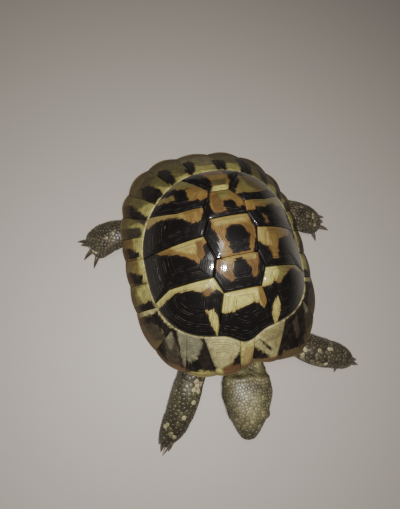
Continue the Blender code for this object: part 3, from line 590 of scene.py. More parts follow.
COSTAL_MARKINGS_LEFT = (
    Markings(None, (
        pale(Tone.GREEN, (12, -12), (20, -12), (28, -12), (34, -12), (39, -18.4), (33, -18),
             (28, -16.6), (24.5, -17.6), (20, -20.5), (18, -23), (15, -21)),
        pale(Tone.LEMON, (10.8, -14), (17, -12), (17.6, -18), (14.8, -22), (12.4, -23), (8.4, -23.2)),
        pale(Tone.LEMON, (16, -28), (17.4, -31), (16.8, -35.4), (14.6, -41.6), (13, -36),
             (13.4, -31.6)))),
    Markings(None, (
        pale(Tone.OCHRE, (11, 6), (24, 7), (34, 6), (32, 0.4), (27, -1), (22.4, -2.6), (21, -6),
             (19.6, -11.6), (17, -11.4), (15.4, -6), (13, -4.6), (11, -1)),
        pale(Tone.BUFF, (11, 6), (17, 6), (16.8, -5), (13, -5), (11, -2)))),
    Markings(None, (
        pale(Tone.GREEN, (9, 20), (22, 21), (30, 24), (37, 24), (37, 18.4), (30, 15.6), (25, 16),
             (19, 13.6), (15, 14.2), (13.4, 12.2), (9, 12.2)),
        pale(Tone.OCHRE, (9.6, 19), (14, 18), (20, 16), (15, 14.4), (13.6, 12.4), (9.8, 12.2)),
        pale(Tone.OLIVE, (17, 9.6), (18.8, 9), (19.4, 6), (17.8, 5.4)))),
    Markings(None, (
        pale(Tone.GREEN, (11, 28.5), (12.6, 33.4), (18.6, 33.6), (22.6, 29), (26.6, 24.6),
             (21, 22.6), (14.4, 21.4), (7.4, 22.2), (8, 24.6)),
        pale(Tone.OLIVE, (14, 32.6), (18.4, 33), (26, 24.8), (19, 23.6), (15, 26.6)))),
)

MARGINAL_MARKINGS_RIGHT = (
    Markings(Tone.CREAM, (
        # Painted shade: a grey-green strip along the seam to the second marginal.
        pale(Tone.GREY, (-25, -40), (-19.6, -41), (-18, -50), (-16, -55), (-20, -56)),
        pale(Tone.RUST, (-2, -54), (-8, -54.6), (-13.4, -56.4), (-14.4, -63), (-2, -63)),
        pale(Tone.LEMON, (-25, -55.4), (-17, -57), (-13.6, -56), (-13, -60), (-14, -63), (-26, -62)),
        black((-22.6, -51), (-18.4, -50.8), (-15.6, -55), (-17, -56.6), (-22, -55.6)),
        black((-4, -48.8), (-3, -56), (-7.8, -55.2), (-6.4, -52)))),
    Markings(None, (
        pale(Tone.GREY, (-31.4, -34), (-22, -39), (-21, -42), (-24.6, -48.6), (-28.4, -50),
             (-29.6, -44)),
        pale(Tone.LEMON, (-30, -54.6), (-23, -54.6), (-16.6, -57), (-14, -62), (-30, -62)))),
    Markings(None, (
        pale(Tone.DUSK, (-38, -34), (-34, -34), (-32, -44), (-33, -52), (-38, -48)),
        pale(Tone.GREY, (-38, -33), (-34.4, -33), (-34, -38), (-35.4, -41)),
        pale(Tone.GREY, (-31.6, -33), (-24, -34), (-27, -52), (-30.6, -52), (-31.6, -44)),
        pale(Tone.RUST, (-38, -48.6), (-33, -51), (-28, -55.4), (-28, -60), (-42, -60)))),
    Markings(None, (
        pale(Tone.CREAM, (-52, -14), (-36, -14), (-38.6, -22.6), (-42, -23.4), (-48, -23)),
        pale(Tone.DUSK, (-50, -28), (-42, -27), (-38.4, -32), (-38, -38), (-44, -38)),
        pale(Tone.OLIVE, (-44.6, -36.4), (-40, -37), (-39, -40), (-42, -41)),
        pale(Tone.GREEN, (-50, -34), (-46.4, -36), (-41.6, -42), (-38, -46), (-50, -48)))),
    Markings(Tone.GREEN, (
        pale(Tone.LEMON, (-46, -9), (-40, -9), (-38, -17), (-44, -17)),
        pale(Tone.OLIVE, (-54, -10), (-48, -10), (-48, -18), (-54, -18)),
        black((-54, -16.8), (-38, -16.6), (-38, -22.4), (-54, -22.6)))),
    Markings(Tone.OCHRE, (
        pale(Tone.LEMON, (-43, 8), (-38, 8), (-38, -9), (-42.6, -9)),
        pale(Tone.GREEN, (-52, 4), (-46, 4), (-46, -3), (-52, -3)),
        black((-54, 3.5), (-50.4, 2.6), (-46.7, 0.6), (-42.4, -3.4), (-42.2, -7.8), (-45, -8.4),
              (-47.6, -5.4), (-54, -2.4)))),
    Markings(Tone.OCHRE, (
        pale(Tone.LEMON, (-43.2, 18), (-38, 18), (-38, 4), (-43, 4)),
        pale(Tone.GREEN, (-50, 15), (-47, 15), (-47, 8), (-50, 8)),
        black((-54, 17), (-49.5, 15.3), (-46.2, 13.6), (-42, 8.6), (-42.2, 6.1), (-47.2, 7.3), (-54, 10)))),
    Markings(Tone.GREEN, (
        pale(Tone.LEMON, (-43, 24), (-36, 24), (-38, 14), (-41, 14)),
        pale(Tone.OLIVE, (-45, 20.6), (-41, 20.4), (-40, 17), (-45, 17)),
        pale(Tone.DUSK, (-42, 29.5), (-36.6, 21), (-35, 24), (-40, 31)),
        pale(Tone.DUSK, (-52, 27), (-46.9, 25.2), (-39.4, 20.6), (-39.3, 16.9), (-44.3, 17.2),
             (-48, 19.6), (-54, 21)))),
    Markings(Tone.GREEN, (
        pale(Tone.LEMON, (-37.2, 31), (-30, 31), (-32, 25), (-35.6, 25.6)),
        black((-46, 40.6), (-43, 39), (-40.1, 36.5), (-38.2, 30.7), (-34.6, 24.6), (-36.3, 21.6),
              (-41.8, 26.6), (-46, 30)))),
    Markings(Tone.GREEN, (
        pale(Tone.OLIVE, (-40, 40), (-30, 52), (-26, 50), (-30, 44), (-36, 36)),
        pale(Tone.LEMON, (-28, 40), (-20, 34), (-22, 32), (-26, 34)),
        black((-34.4, 45), (-29.7, 43.6), (-25.3, 36.6), (-25.6, 32.6), (-29.8, 29.6), (-33, 31.6),
              (-35, 38)))),
    Markings(Tone.GREEN, (
        pale(Tone.LEMON, (-16.4, 40), (-6, 44), (-6, 38), (-16, 36)),
        pale(Tone.LEMON, (-26, 42), (-20, 36.6), (-22, 34), (-27, 37)),
        black((-10.6, 47), (-7, 46.6), (-7, 40), (-9.4, 40.2), (-11.6, 44)),
        black((-23.4, 54.6), (-18.4, 51.8), (-17.2, 39.6), (-19.6, 36), (-23.8, 41), (-25, 48)))),
)

SUPRACAUDAL_MARKINGS = Markings(Tone.KHAKI, (
    pale(Tone.LEMON, (-6, 47.4), (5, 46), (5, 36), (-8, 36)),
    black((-10, 55), (-5, 57), (-3.6, 52), (-6.2, 43.4), (-9, 40), (-11.6, 44.4)),
    black((6, 54), (12.6, 52.5), (12, 46), (8.9, 39.2), (4.5, 37), (4.8, 44))))

NUCHAL_MARKINGS = Markings(Tone.STRAW, (
    pale(Tone.LEMON, (-4, -44), (4, -44), (4, -48), (-2, -48.6), (-1.8, -58), (-4, -58)),
    pale(Tone.RUST, (-4, -56.8), (-1, -57.6), (4, -57), (4, -62), (-4, -62))))


def left_marginal_markings() -> list[Markings]:
    """The left side's marginal plates: like the right ones, with their own front and rear."""
    left = [markings.mirrored() for markings in MARGINAL_MARKINGS_RIGHT]
    left[0] = Markings(Tone.KHAKI, (
        pale(Tone.CREAM, (2, -46), (4, -50), (13, -55.4), (19, -60), (20, -56), (12, -50), (6, -45)),
        pale(Tone.RUST, (1.4, -57.2), (11, -57), (16, -56.8), (19, -59.6), (17, -65), (0, -65)),
        black((3, -48.6), (2, -55), (8.4, -56.4), (12, -55.6), (8.4, -52.3)),
        black((5.4, -46.2), (6.6, -45.8), (13.2, -52.2), (12.2, -53))))
    left[1] = Markings(None, (
        pale(Tone.DUSK, (24.6, -42), (30, -37), (31, -44), (27, -49)),
        pale(Tone.OLIVE, (19, -54.6), (27, -54.8), (33, -53.6), (38, -60), (17, -66))))
    left[2] = Markings(None, (
        pale(Tone.DUSK, (33, -31), (39, -33), (40, -42), (34, -48)),
        pale(Tone.GREY, (33, -31), (37, -33), (36.4, -38), (34, -38)),
        pale(Tone.OLIVE, (32, -50), (42, -42), (46, -50), (34, -58))))
    left[9] = Markings(Tone.OLIVE, (
        pale(Tone.GREEN, (26, 48), (30, 45), (27, 34), (23, 31)),
        black((22, 56), (30.6, 58), (25.8, 43), (21.4, 34.2), (17, 33), (17, 38.4)),
        black((31.4, 46), (35.4, 41), (33, 32), (30.4, 30), (28.4, 34))))
    left[10] = Markings(Tone.GREEN, (
        pale(Tone.LEMON, (12, 46.6), (18.6, 45.6), (17, 33), (8.4, 36)),
        black((6, 54), (12.6, 52.5), (12, 46), (8.9, 39.2), (4.5, 37), (4.8, 44)),
        black((22, 56), (30.6, 58), (25.8, 43), (21.4, 34.2), (17, 33), (17, 38.4))))
    return left


# ------------------------------------------------------------------ horn finish

@dataclass(frozen=True)
class HornFinish:
    """Glossy horn with growth rings, pale and black areas."""

    name: str
    black_horn: tuple = (0.0055, 0.0045, 0.0042)
    groove: float = 0.07               # depth of the growth grooves
    roughness: float = 0.38
    coat: float = 0.8

    def build(self) -> bpy.types.Material:
        """Builds the material.

        Returns:
            The material; it reads pale, tone, growth, worn and dull from the mesh.
        """
        finish = Finish(self.name, self.roughness, self.coat, 0.06, 0.12)
        growth = finish.attribute("growth")
        wear_and_shade = finish.attribute("wear_and_shade")
        dull = finish.attribute("dull")
        mottle = finish.noise(2.2, 4.0)
        fine = finish.noise(0.5, 3.0)
        cloud = finish.noise(6.0)
        warped = growth + (mottle - 0.5) * 0.7
        ring_number = warped.floor()
        chance = finish.random(ring_number)
        jag = (chance - 0.5) * 0.7
        edge = finish.attribute("pale") + (mottle - 0.5) * (1.2 + dull * 1.5) + (fine - 0.5) * 0.6 + jag
        pale_share = (edge / (1.0 + dull * 1.8)).step(-0.22, 0.22)
        line = (warped.fraction() - 0.5).absolute().step(0.36, 0.5)
        fringe = 1.0 - edge.step(0.0, 1.8)
        light = 0.80 + (mottle - 0.5) * (0.7 + dull) + (cloud - 0.5) * 0.5 + (fine - 0.5) * 0.3
        horn = finish.shade(finish.attribute("tone", "Color"), light)
        broad = (warped.fraction() - 0.5).absolute().step(0.12, 0.40) * chance.step(0.55, 0.75)
        brown_rings = line * (chance * 0.8 + 0.2) * mottle.step(0.25, 0.5) + broad * (0.6 - dull * 0.4)
        stained = finish.mix(brown_rings, horn,
                             (0.070, 0.030, 0.012))
        aged = finish.mix(fringe * (0.5 - dull * 0.45), stained, (0.115, 0.060, 0.020))
        smeared = finish.mix(dull * cloud.step(0.40, 0.66) * mottle.step(0.32, 0.62) * 0.75, aged,
                             (0.040, 0.030, 0.020))
        # Painted highlight: thin grey lines along some growth rings of the black horn.
        painted_ring_highlights = finish.mix(line * chance.step(0.45, 0.8) * finish.noise(3.0).step(0.42, 0.64) * 0.5,
                             self.black_horn, (0.17, 0.16, 0.14))
        brown = finish.mix(edge.step(-1.1, -0.1) * 0.5 + dull * cloud.step(0.3, 0.8) * 0.6,
                           painted_ring_highlights, (0.026, 0.017, 0.012))
        colour = finish.mix(pale_share, brown, smeared)
        # Brown wear and painted shade: the horn turns brown towards the rim's outer edge.
        rim_wear_and_shade = (wear_and_shade + (mottle - 0.5) * 0.5) * wear_and_shade.step(0.0, 0.4)
        finish.feed("Base Color", finish.mix(rim_wear_and_shade * 0.8, colour, (0.085, 0.056, 0.030)))
        finish.feed("Roughness", self.roughness + dull * 0.30 + (fine - 0.5) * 0.16)
        finish.feed("Coat Weight", (1.0 - dull) * self.coat)
        finish.bump(line * -0.6 + fine * 0.25 + mottle * 0.7, self.groove, 0.7)
        return finish.material


# ------------------------------------------------------------------ plates

def make_object(name: str, points: np.ndarray, faces: list, material: bpy.types.Material,
                values: dict[str, np.ndarray] | None = None) -> bpy.types.Object:
    """Makes a smooth mesh object from points in the model's metres.

    Args:
        name: the piece's name.
        points: places in metres.
        faces: corner indices of each face.
        material: its finish.
        values: numbers for each point, by name.

    Returns:
        The object.
    """
    mesh = bpy.data.meshes.new(name)
    mesh.from_pydata(points.tolist(), [], faces)
    for key, numbers in (values or {}).items():
        store(mesh, key, numbers)
    mesh.shade_smooth()
    mesh.materials.append(material)
    return add_object(name, mesh)


def face_outwards(item: bpy.types.Object) -> None:
    """Turns a closed mesh's faces outwards."""
    work = bmesh.new()
    work.from_mesh(item.data)
    bmesh.ops.recalc_face_normals(work, faces=work.faces)
    work.to_mesh(item.data)
    work.free()


def band_faces(rows: int, count: int) -> list:
    """Faces between rows of points that close on themselves."""
    here = np.arange(count)
    after = (here + 1) % count
    faces = []
    for row in range(rows - 1):
        base = row * count
        faces.append(np.stack([base + here, base + after, base + count + after,
                               base + count + here], axis=1))
    return np.concatenate(faces).tolist()


def closed_rows(first: np.ndarray, rows: np.ndarray, last: np.ndarray) -> tuple[np.ndarray, list]:
    """A closed surface through rings of points, with a pole at each end.

    Args:
        first: the pole before the first ring.
        rows: rings of points, one ring per row.
        last: the pole after the last ring.

    Returns:
        Points and faces.
    """
    count = rows.shape[1]
    points = np.concatenate([[first], rows.reshape(-1, 3), [last]])
    faces = [[1 + corner for corner in quad] for quad in band_faces(len(rows), count)]
    base = 1 + (len(rows) - 1) * count
    for k in range(count):
        after = (k + 1) % count
        faces.append([0, 1 + after, 1 + k])
        faces.append([base + k, base + after, len(points) - 1])
    return points, faces


def dense(loop: np.ndarray, step: float) -> np.ndarray:
    """A closed plan loop with a point at every step."""
    after = np.roll(loop, -1, axis=0)
    points = []
    for start, end in zip(loop, after):
        length = np.linalg.norm(end - start)
        if length < 1e-6:
            continue
        shares = np.arange(max(1, round(length / step))) / max(1, round(length / step))
        points.append(start + (end - start) * shares[:, None])
    return np.concatenate(points)


def inset(loop: np.ndarray, distance: float) -> np.ndarray:
    """A closed plan loop moved inwards along the mean of its edges' normals."""
    before, after = np.roll(loop, 1, axis=0), np.roll(loop, -1, axis=0)
    area = (loop[:, 0] * after[:, 1] - after[:, 0] * loop[:, 1]).sum()
    side = 1.0 if area > 0 else -1.0
    edge = unit(after - before)
    return loop + np.stack([-edge[:, 1], edge[:, 0]], axis=1) * side * distance


@dataclass
class DomePlate:
    """A horny plate with growth rings around its oldest part."""

    node: str
    loop: np.ndarray
    areola: tuple
    markings: Markings
    surface: "ShellForm | PlastronForm"
    rise: float = 0.75
    gap: float = 0.14
    thickness: float = 1.5
    ring_width: float = 1.0
    relief: float = 0.014
    row_step: float = 0.32
    edge_step: float = 0.5
    slot: str = "horn"

    def depths(self, share: np.ndarray, growth: np.ndarray) -> np.ndarray:
        """Depth of the plate's face under the dome, from its middle to its edge."""
        swell = -self.rise * (1.0 - share ** 2.4)
        return swell + 0.42 * smooth_step(share, 0.955, 1.0) + self.relief * np.cos(2 * math.pi * growth)

    def dullness(self, points: np.ndarray) -> np.ndarray:
        """How matt the horn is: weathered dull low on the flanks and over the tail."""
        return 0.85 * (1.0 - smooth_step(points[:, 2] - 0.12 * points[:, 1], 26.0, 50.0))

    def build(self, place: Frame, material: bpy.types.Material) -> bpy.types.Object:
        """Builds the plate.

        Args:
            place: ties the shell to the model.
            material: the horn's finish.

        Returns:
            The plate, closed, in place of its CAD node.
        """
        edge = inset(dense(self.loop, self.edge_step), self.gap / 2)
        centre = np.array(self.areola, float)
        spokes = edge - centre
        lengths = np.linalg.norm(spokes, axis=1)
        rows = max(12, int(lengths.max() / self.row_step))
        shares = np.linspace(0.03, 1.0, rows)
        plan = centre + spokes[None] * shares[:, None, None]
        heart = 0.24
        rings = max(3.0, lengths.mean() * (1.0 - heart) / self.ring_width)
        grown = (shares - heart) / (1.0 - heart)
        grown = (grown + 0.022 * np.sin(17.0 * grown) + 0.012 * np.sin(41.0 * grown)) * rings
        growth = np.broadcast_to(grown[:, None], (rows, len(edge)))
        shown = np.where(growth < 0, 0.25, growth)
        face = self.surface.point(plan, self.depths(shares[:, None], shown))
        floor = self.surface.point(plan[[-1, rows // 2]], self.thickness)
        top = self.surface.point(centre[None], self.depths(np.zeros(1), np.full(1, 0.25)))
        low = self.surface.point(centre[None], self.thickness)
        points, faces = closed_rows(top[0], np.concatenate([face, floor]), low[0])
        flat = plan.reshape(-1, 2)
        pale_share, tone = self.markings.paint(flat)
        hidden = 2 * len(edge) + 1
        values = {
            "pale": np.concatenate([pale_share[:1], pale_share, np.full(hidden, -6.0)]),
            "tone": np.concatenate([tone[:1], tone, np.tile(Tone.OCHRE.value, (hidden, 1))]),
            "growth": np.concatenate([[0.25], shown.ravel(), np.full(hidden, 0.25)]),
            "wear_and_shade": np.zeros(len(points)),
            "dull": self.dullness(points),
        }
        item = make_object(self.node + "_horn", place.to_metres(points), faces, material, values)
        face_outwards(item)
        return dress(item, self.node, slot=self.slot)


def dress(item: bpy.types.Object, *nodes: str, slot: str = "horn") -> bpy.types.Object:
    """Lets a piece ride on the model in place of CAD nodes."""
    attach(item, BODY)
    if nodes:
        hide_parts(*nodes)
    return item


@dataclass
class RimPlate:
    """A plate of the rim, from the seam ring over the edge to the underside."""

    node: str
    ring_angles: tuple
    rim_angles: tuple
    side: float
    markings: Markings
    seams: SeamForm
    belly: "PlastronForm"
    gap: float = 0.14
    thickness: float = 1.6
    rim_thickness: float = 2.6
    scallop: float = 0.8
    swell: float = 0.4
    ring_width: float = 1.2
    relief: float = 0.02
    step: float = 0.42
    lip: float = 0.985
    pocket: float = 0.875
    pocket_depth: float = 1.2
    line: float = 0.42                 # width of the pale line along the seam ring
    wear_and_shade_from: float = 0.5             # share of the height where the brown wear and painted shade towards the outer edge begin
    heart: tuple = (0.62, 0.66)        # the oldest part's place, across and down

    def __post_init__(self) -> None:
        """Lays out the plate's columns and rows in plan."""
        seams, shell = self.seams, self.seams.shell
        (ring_from, ring_to), (rim_from, rim_to) = self.ring_angles, self.rim_angles
        self.span = np.linalg.norm(seams.rim(rim_to) - seams.rim(rim_from))
        self.height = np.linalg.norm(seams.rim((rim_from + rim_to) / 2)
                                     - seams.ring((ring_from + ring_to) / 2))
        columns = max(8, int(max(self.span, self.height * 0.4) / self.step))
        rows = max(16, int(self.height * 1.3 / self.step))
        trim = self.gap / 2 / self.span
        self.across = np.linspace(trim, 1.0 - trim, columns)
        self.down = np.linspace(self.gap / 2 / self.height, 1.0, rows)
        self.bulge = np.sin(math.pi * self.across)
        rim_angle = rim_from + (rim_to - rim_from) * self.across
        self.under_bridge = smooth_step(rim_angle, 52.0, 60.0) * (1.0 - smooth_step(rim_angle, 108.0, 116.0))
        self.inner = seams.ring(ring_from + (ring_to - ring_from) * self.across)
        self.outer = seams.rim(rim_angle, self.scallop * self.bulge)
        self.way = seams.direction(rim_angle)
        self.reach = shell.reach(self.way[:, 0], self.way[:, 1])
        self.edge_z = shell.rim_height(self.way[:, 1])
        self.push = self.way * self.edge_wave()[:, None]

    def edge_wave(self) -> np.ndarray:
        """How far the front edge stands out: a notch over the neck, a fuller left corner."""
        x = self.way[:, 0] * self.reach * self.side
        wave = 2.6 * np.exp(-((x - 29.0) / 5.6) ** 2) - 3.1 * np.exp(-((x - 5.0) / 7.5) ** 2)
        return wave * smooth_step(-self.way[:, 1], 0.5, 0.75)

    def rings(self) -> tuple[np.ndarray, np.ndarray]:
        """Growth ring numbers over the face, and the dip along its edges."""
        off_u, off_v = (np.where(place < heart, (heart - place) / heart, (place - heart) / (1.0 - heart))
                        for place, heart in zip((self.across, self.down), self.heart))
        share = (off_u ** 5 + off_v[:, None] ** 5) ** 0.2
        count = max(3.0, (0.5 * self.span + 0.6 * self.height) / self.ring_width / 1.6)
        growth = np.where(share < 0.2, 0.25, (share - 0.2) / 0.8 * count)
        dip = 0.36 * np.maximum(smooth_step(off_u, 0.955, 1.0),
                                smooth_step(1.0 - self.down, 0.965, 1.0)[:, None])
        return growth, dip

    def face(self, plan: np.ndarray, growth: np.ndarray, dip: np.ndarray) -> np.ndarray:
        """The outer face, from the seam ring to the rim's edge."""
        down = self.down[:, None]
        depth = dip - self.swell * self.bulge * smooth_step(down, 0.0, 0.35)
        depth = depth + self.relief * np.cos(2 * math.pi * growth) * (down < 0.93)
        round_off = smooth_step(down, 0.90, 1.0)
        return self.seams.shell.point(plan, depth * (1.0 - round_off) + 0.25 * round_off ** 2)

    def underside(self, dip: np.ndarray) -> np.ndarray:
        """Rows from the rim's edge round the lip to the belly or the leg pocket."""
        edge = self.reach + self.scallop * self.bulge - 0.05 - dip
        lip = self.reach * self.lip + self.scallop * self.bulge - dip
        lip_z = self.edge_z - self.rim_thickness
        seam = self.belly.bridge_seam * self.reach
        seam_z = self.belly.bridge_height(self.way[:, 0] * seam)
        low = self.pocket * self.reach + (seam - self.pocket * self.reach) * self.under_bridge
        low_z = (self.edge_z - self.pocket_depth) * (1 - self.under_bridge) + seam_z * self.under_bridge
        turns = [(edge, self.edge_z - share * self.rim_thickness) for share in (0.12, 0.35, 0.6)]
        turns.append(((edge + lip) / 2, self.edge_z - 0.85 * self.rim_thickness))
        turns += [(lip + (low - lip) * share, lip_z * (1 - share) + low_z * share)
                  for share in (0.0, 0.15, 0.4, 0.7, 1.0)]
        centre = np.array([0.0, self.seams.shell.centre_y])
        return np.array([np.column_stack([self.way * far[:, None] + centre, z]) for far, z in turns])

    def inside(self, low: np.ndarray, rows: int) -> np.ndarray:
        """The inner face, from behind the lowest row back up to the seam ring."""
        inward = unit(np.column_stack([-self.way, np.full(len(self.way), 1.7)]))
        foot = low + inward * self.thickness
        shares = np.linspace(1.0, 0.0, rows)[:, None]
        plan = self.inner + (self.outer - self.inner) * (0.86 * shares[..., None])
        face = self.seams.shell.point(plan, self.thickness + 0.4 * shares)
        face[..., :2] += self.push * smooth_step(0.86 * shares, 0.1, 1.0)[..., None]
        blend = smooth_step(shares, 0.7, 1.0)[..., None]
        return face * (1 - blend) + foot * blend

    def paint(self, plan: np.ndarray) -> tuple[np.ndarray, np.ndarray]:
        """Pale share and colour of the face, with a pale line along the seam ring."""
        pale_share, tone = self.markings.paint(plan.reshape(-1, 2))
        fade = 0.7 + 0.6 * wave_noise(np.column_stack([self.inner, self.inner[:, 0]]), 9.0, 8)
        beside = (self.line * fade - (self.down * self.height)[:, None]).ravel()
        tone = tone + (np.array(Tone.CREAM.value) - tone) * smooth_step(beside, -0.4, 0.3)[:, None]
        return (np.maximum(pale_share, beside).reshape(plan.shape[:2]),
                tone.reshape(*plan.shape[:2], 3))

    def build(self, place: Frame, material: bpy.types.Material) -> bpy.types.Object:
        """Builds the plate.

        Args:
            place: ties the shell to the model.
            material: the horn's finish.

        Returns:
            The plate, closed, in place of its CAD node.
        """
        growth, dip = self.rings()
        plan = self.inner + (self.outer - self.inner) * self.down[:, None, None]
        outside = np.concatenate([self.face(plan, growth, dip), self.underside(dip[-1])])
        follow = np.concatenate([smooth_step(self.down, 0.1, 1.0), [1.0] * 5, [0.85, 0.6, 0.3, 0.0]])
        outside[..., :2] += self.push * follow[:, None, None]
        table = np.concatenate([outside, self.inside(outside[-1], len(outside))])
        table[..., 0] *= self.side
        drawn = plan + self.push * follow[:len(plan), None, None]
        pale_share, tone = self.paint(drawn * np.array([self.side, 1.0]))
        # Brown wear and painted shade, growing towards the outer edge of the rim.
        wear_and_shade = smooth_step(self.down, self.wear_and_shade_from, 1.0)[:, None] * np.ones(len(self.across))

        def spread(shown: np.ndarray, rest: "float | np.ndarray") -> np.ndarray:
            """Values by point: those of the face, then the same for every hidden row."""
            hidden = np.broadcast_to(rest, (len(table) - len(shown),) + shown.shape[1:])
            return np.swapaxes(np.concatenate([shown, hidden]), 0, 1).reshape((-1,) + shown.shape[2:])

        points = np.swapaxes(table, 0, 1).reshape(-1, 3)
        values = {"pale": spread(pale_share, pale_share[-1]), "tone": spread(tone, Tone.OCHRE.value),
                  "growth": spread(growth, 0.25), "wear_and_shade": spread(wear_and_shade, 0.55),
                  "dull": np.full(len(points), 0.9)}
        item = make_object(self.node + "_horn", place.to_metres(points),
                           self.faces(len(self.across), len(table)), material, values)
        face_outwards(item)
        return dress(item, self.node)

    @staticmethod
    def faces(columns: int, count: int) -> list:
        """Faces between the columns of points, and over the first and the last column."""
        faces = band_faces(columns, count)
        for base, flip in ((0, False), ((columns - 1) * count, True)):
            for k in range(count // 2 - 1):
                quad = [base + k, base + k + 1, base + count - 2 - k, base + count - 1 - k]
                faces.append(quad[::-1] if flip else quad)
        return faces


@dataclass
class Carapace:
    """The upper shell: vertebral, costal and marginal plates."""

    shell: ShellForm
    seams: SeamForm
    belly: "PlastronForm"
    place: Frame
    v1_v2: tuple = (9.1, -22.8)
    c1_c2: tuple = (12.5, -15.2)
    v2_v3: tuple = (10.0, -7.7)
    c2_c3: tuple = (13.0, 3.9)
    v3_v4: tuple = (9.6, 11.0)
    c3_c4: tuple = (10.2, 17.9)
    v4_v5: tuple = (4.5, 25.5)
    c1_c2_bend: tuple = (32.0, -14.8)
    c3_c4_bend: tuple = (22.0, 18.8)
    vertebral_areolae: tuple = ((0.0, -26.8), (0.4, -12.0), (0.6, 3.0), (0.3, 19.0), (0.0, 31.5))
    costal_areolae: tuple = ((21.5, -20.0), (22.5, -3.0), (20.5, 12.5), (15.0, 27.0))

    def vertebral_loops(self) -> list[np.ndarray]:
        """Plan loops of the five plates along the back."""
        seams = self.seams
        front = seams.arc(seams.ring_seams[0], seams.vertebral_front)
        rear = seams.arc(seams.vertebral_rear, 180.0)
        sides = [
            np.concatenate([seams.arc(0.0, seams.ring_seams[0]), front, [self.v1_v2]]),
            np.array([self.v1_v2, self.c1_c2, self.v2_v3]),
            np.array([self.v2_v3, self.c2_c3, self.v3_v4]),
            np.array([self.v3_v4, self.c3_c4, self.v4_v5]),
            np.concatenate([[self.v4_v5], rear]),
        ]
        return [np.concatenate([side, side[::-1] * np.array([-1.0, 1.0])]) for side in sides]

    def costal_loops(self) -> list[np.ndarray]:
        """Plan loops of the four plates on the left flank."""
        seams = self.seams
        a12, a23, a34 = seams.costal_angles
        return [
            np.concatenate([seams.arc(seams.vertebral_front, a12),
                            [self.c1_c2_bend, self.c1_c2, self.v1_v2]]),
            np.concatenate([seams.arc(a12, a23),
                            [self.c2_c3, self.v2_v3, self.c1_c2, self.c1_c2_bend]]),
            np.concatenate([seams.arc(a23, a34),
                            [self.c3_c4_bend, self.c3_c4, self.v3_v4, self.c2_c3]]),
            np.concatenate([seams.arc(a34, seams.vertebral_rear),
                            [self.v4_v5, self.c3_c4, self.c3_c4_bend]]),
        ]

    def build_back(self, material: bpy.types.Material) -> int:
        """Builds the vertebral and costal plates and returns how many."""
        plates = [DomePlate(f"vertebral_scute_{number}", loop, heart, look, self.shell)
                  for number, (loop, heart, look) in enumerate(
                      zip(self.vertebral_loops(), self.vertebral_areolae, VERTEBRAL_MARKINGS), 1)]
        for number, (loop, (x, y), left, right) in enumerate(
                zip(self.costal_loops(), self.costal_areolae, COSTAL_MARKINGS_LEFT,
                    COSTAL_MARKINGS_RIGHT), 1):
            plates.append(DomePlate(f"costal_scute_left_{number}", loop, (x, y), left, self.shell))
            plates.append(DomePlate(f"costal_scute_right_{number}", loop * np.array([-1.0, 1.0]),
                                    (-x, y), right, self.shell))
        for plate in plates:
            plate.build(self.place, material)
        return len(plates)

    def build_rim(self, material: bpy.types.Material) -> int:
        """Builds the marginal, nuchal and supracaudal plates and returns how many."""
        pairs = list(zip(self.seams.ring_seams, self.seams.rim_seams))
        shared = {"seams": self.seams, "belly": self.belly}
        plates = []
        sides = (("left", 1.0, left_marginal_markings()), ("right", -1.0, MARGINAL_MARKINGS_RIGHT))
        for number, (start, end) in enumerate(zip(pairs, pairs[1:]), start=1):
            for word, side, looks in sides:
                plates.append(RimPlate(f"marginal_scute_{word}_{number}", (start[0], end[0]),
                                       (start[1], end[1]), side, looks[number - 1],
                                       scallop=1.5 if number > 7 else 0.8,
                                       wear_and_shade_from=0.5 if number > 3 else 0.8, **shared))
        first, last = pairs[0], pairs[-1]
        plates.append(RimPlate("nuchal_scute", (-first[0], first[0]), (-first[1], first[1]), 1.0,
                               NUCHAL_MARKINGS, **shared))
        plates.append(RimPlate("supracaudal_scute", (last[0], 360.0 - last[0]),
                               (last[1], 360.0 - last[1]), 1.0, SUPRACAUDAL_MARKINGS, scallop=1.5,
                               wear_and_shade_from=0.6, **shared))
        for plate in plates:
            plate.build(self.place, material)
        return len(plates)


# ------------------------------------------------------------------ plastron

@dataclass(frozen=True)
class PlastronForm:
    """The underside: flat in the middle, rising to the bridge and a little fore and aft."""

    shell: ShellForm
    low: float = 6.5
    bridge_flat: float = 27.0
    bridge_rise: float = 13.0
    bridge_seam: float = 0.925
    front_lift: float = 2.0
    rear_lift: float = 1.5
    lobe_start: float = 30.0
    lobe_end: float = 56.0

    def bridge_height(self, x: np.ndarray) -> np.ndarray:
        """Height of the underside at a distance from the middle plane, between the lobes."""
        out = np.maximum(0.0, np.abs(x) - self.bridge_flat)
        out = out / (self.bridge_seam * self.shell.half_width - self.bridge_flat)
        return self.low + self.bridge_rise * out ** 1.5

    def height(self, x: np.ndarray, y: np.ndarray) -> np.ndarray:
        """Height of the underside over plan points."""
        lift = self.front_lift * smooth_step(-y, self.lobe_start, self.lobe_end)
        lift = lift + self.rear_lift * smooth_step(y, self.lobe_start, self.lobe_end)
        return self.bridge_height(x) + lift

    def point(self, plan: np.ndarray, depth: "np.ndarray | float" = 0.0) -> np.ndarray:
        """Points on the underside, or at a depth above it."""
        x, y = plan[..., 0], plan[..., 1]
        slope = self.height(x + 0.5, y) - self.height(x - 0.5, y)
        inward = unit(np.stack([-slope, np.zeros_like(slope), np.ones_like(slope)], axis=-1))
        depth = np.broadcast_to(np.asarray(depth, float), x.shape)
        return np.stack([x, y, self.height(x, y)], axis=-1) + inward * depth[..., None]


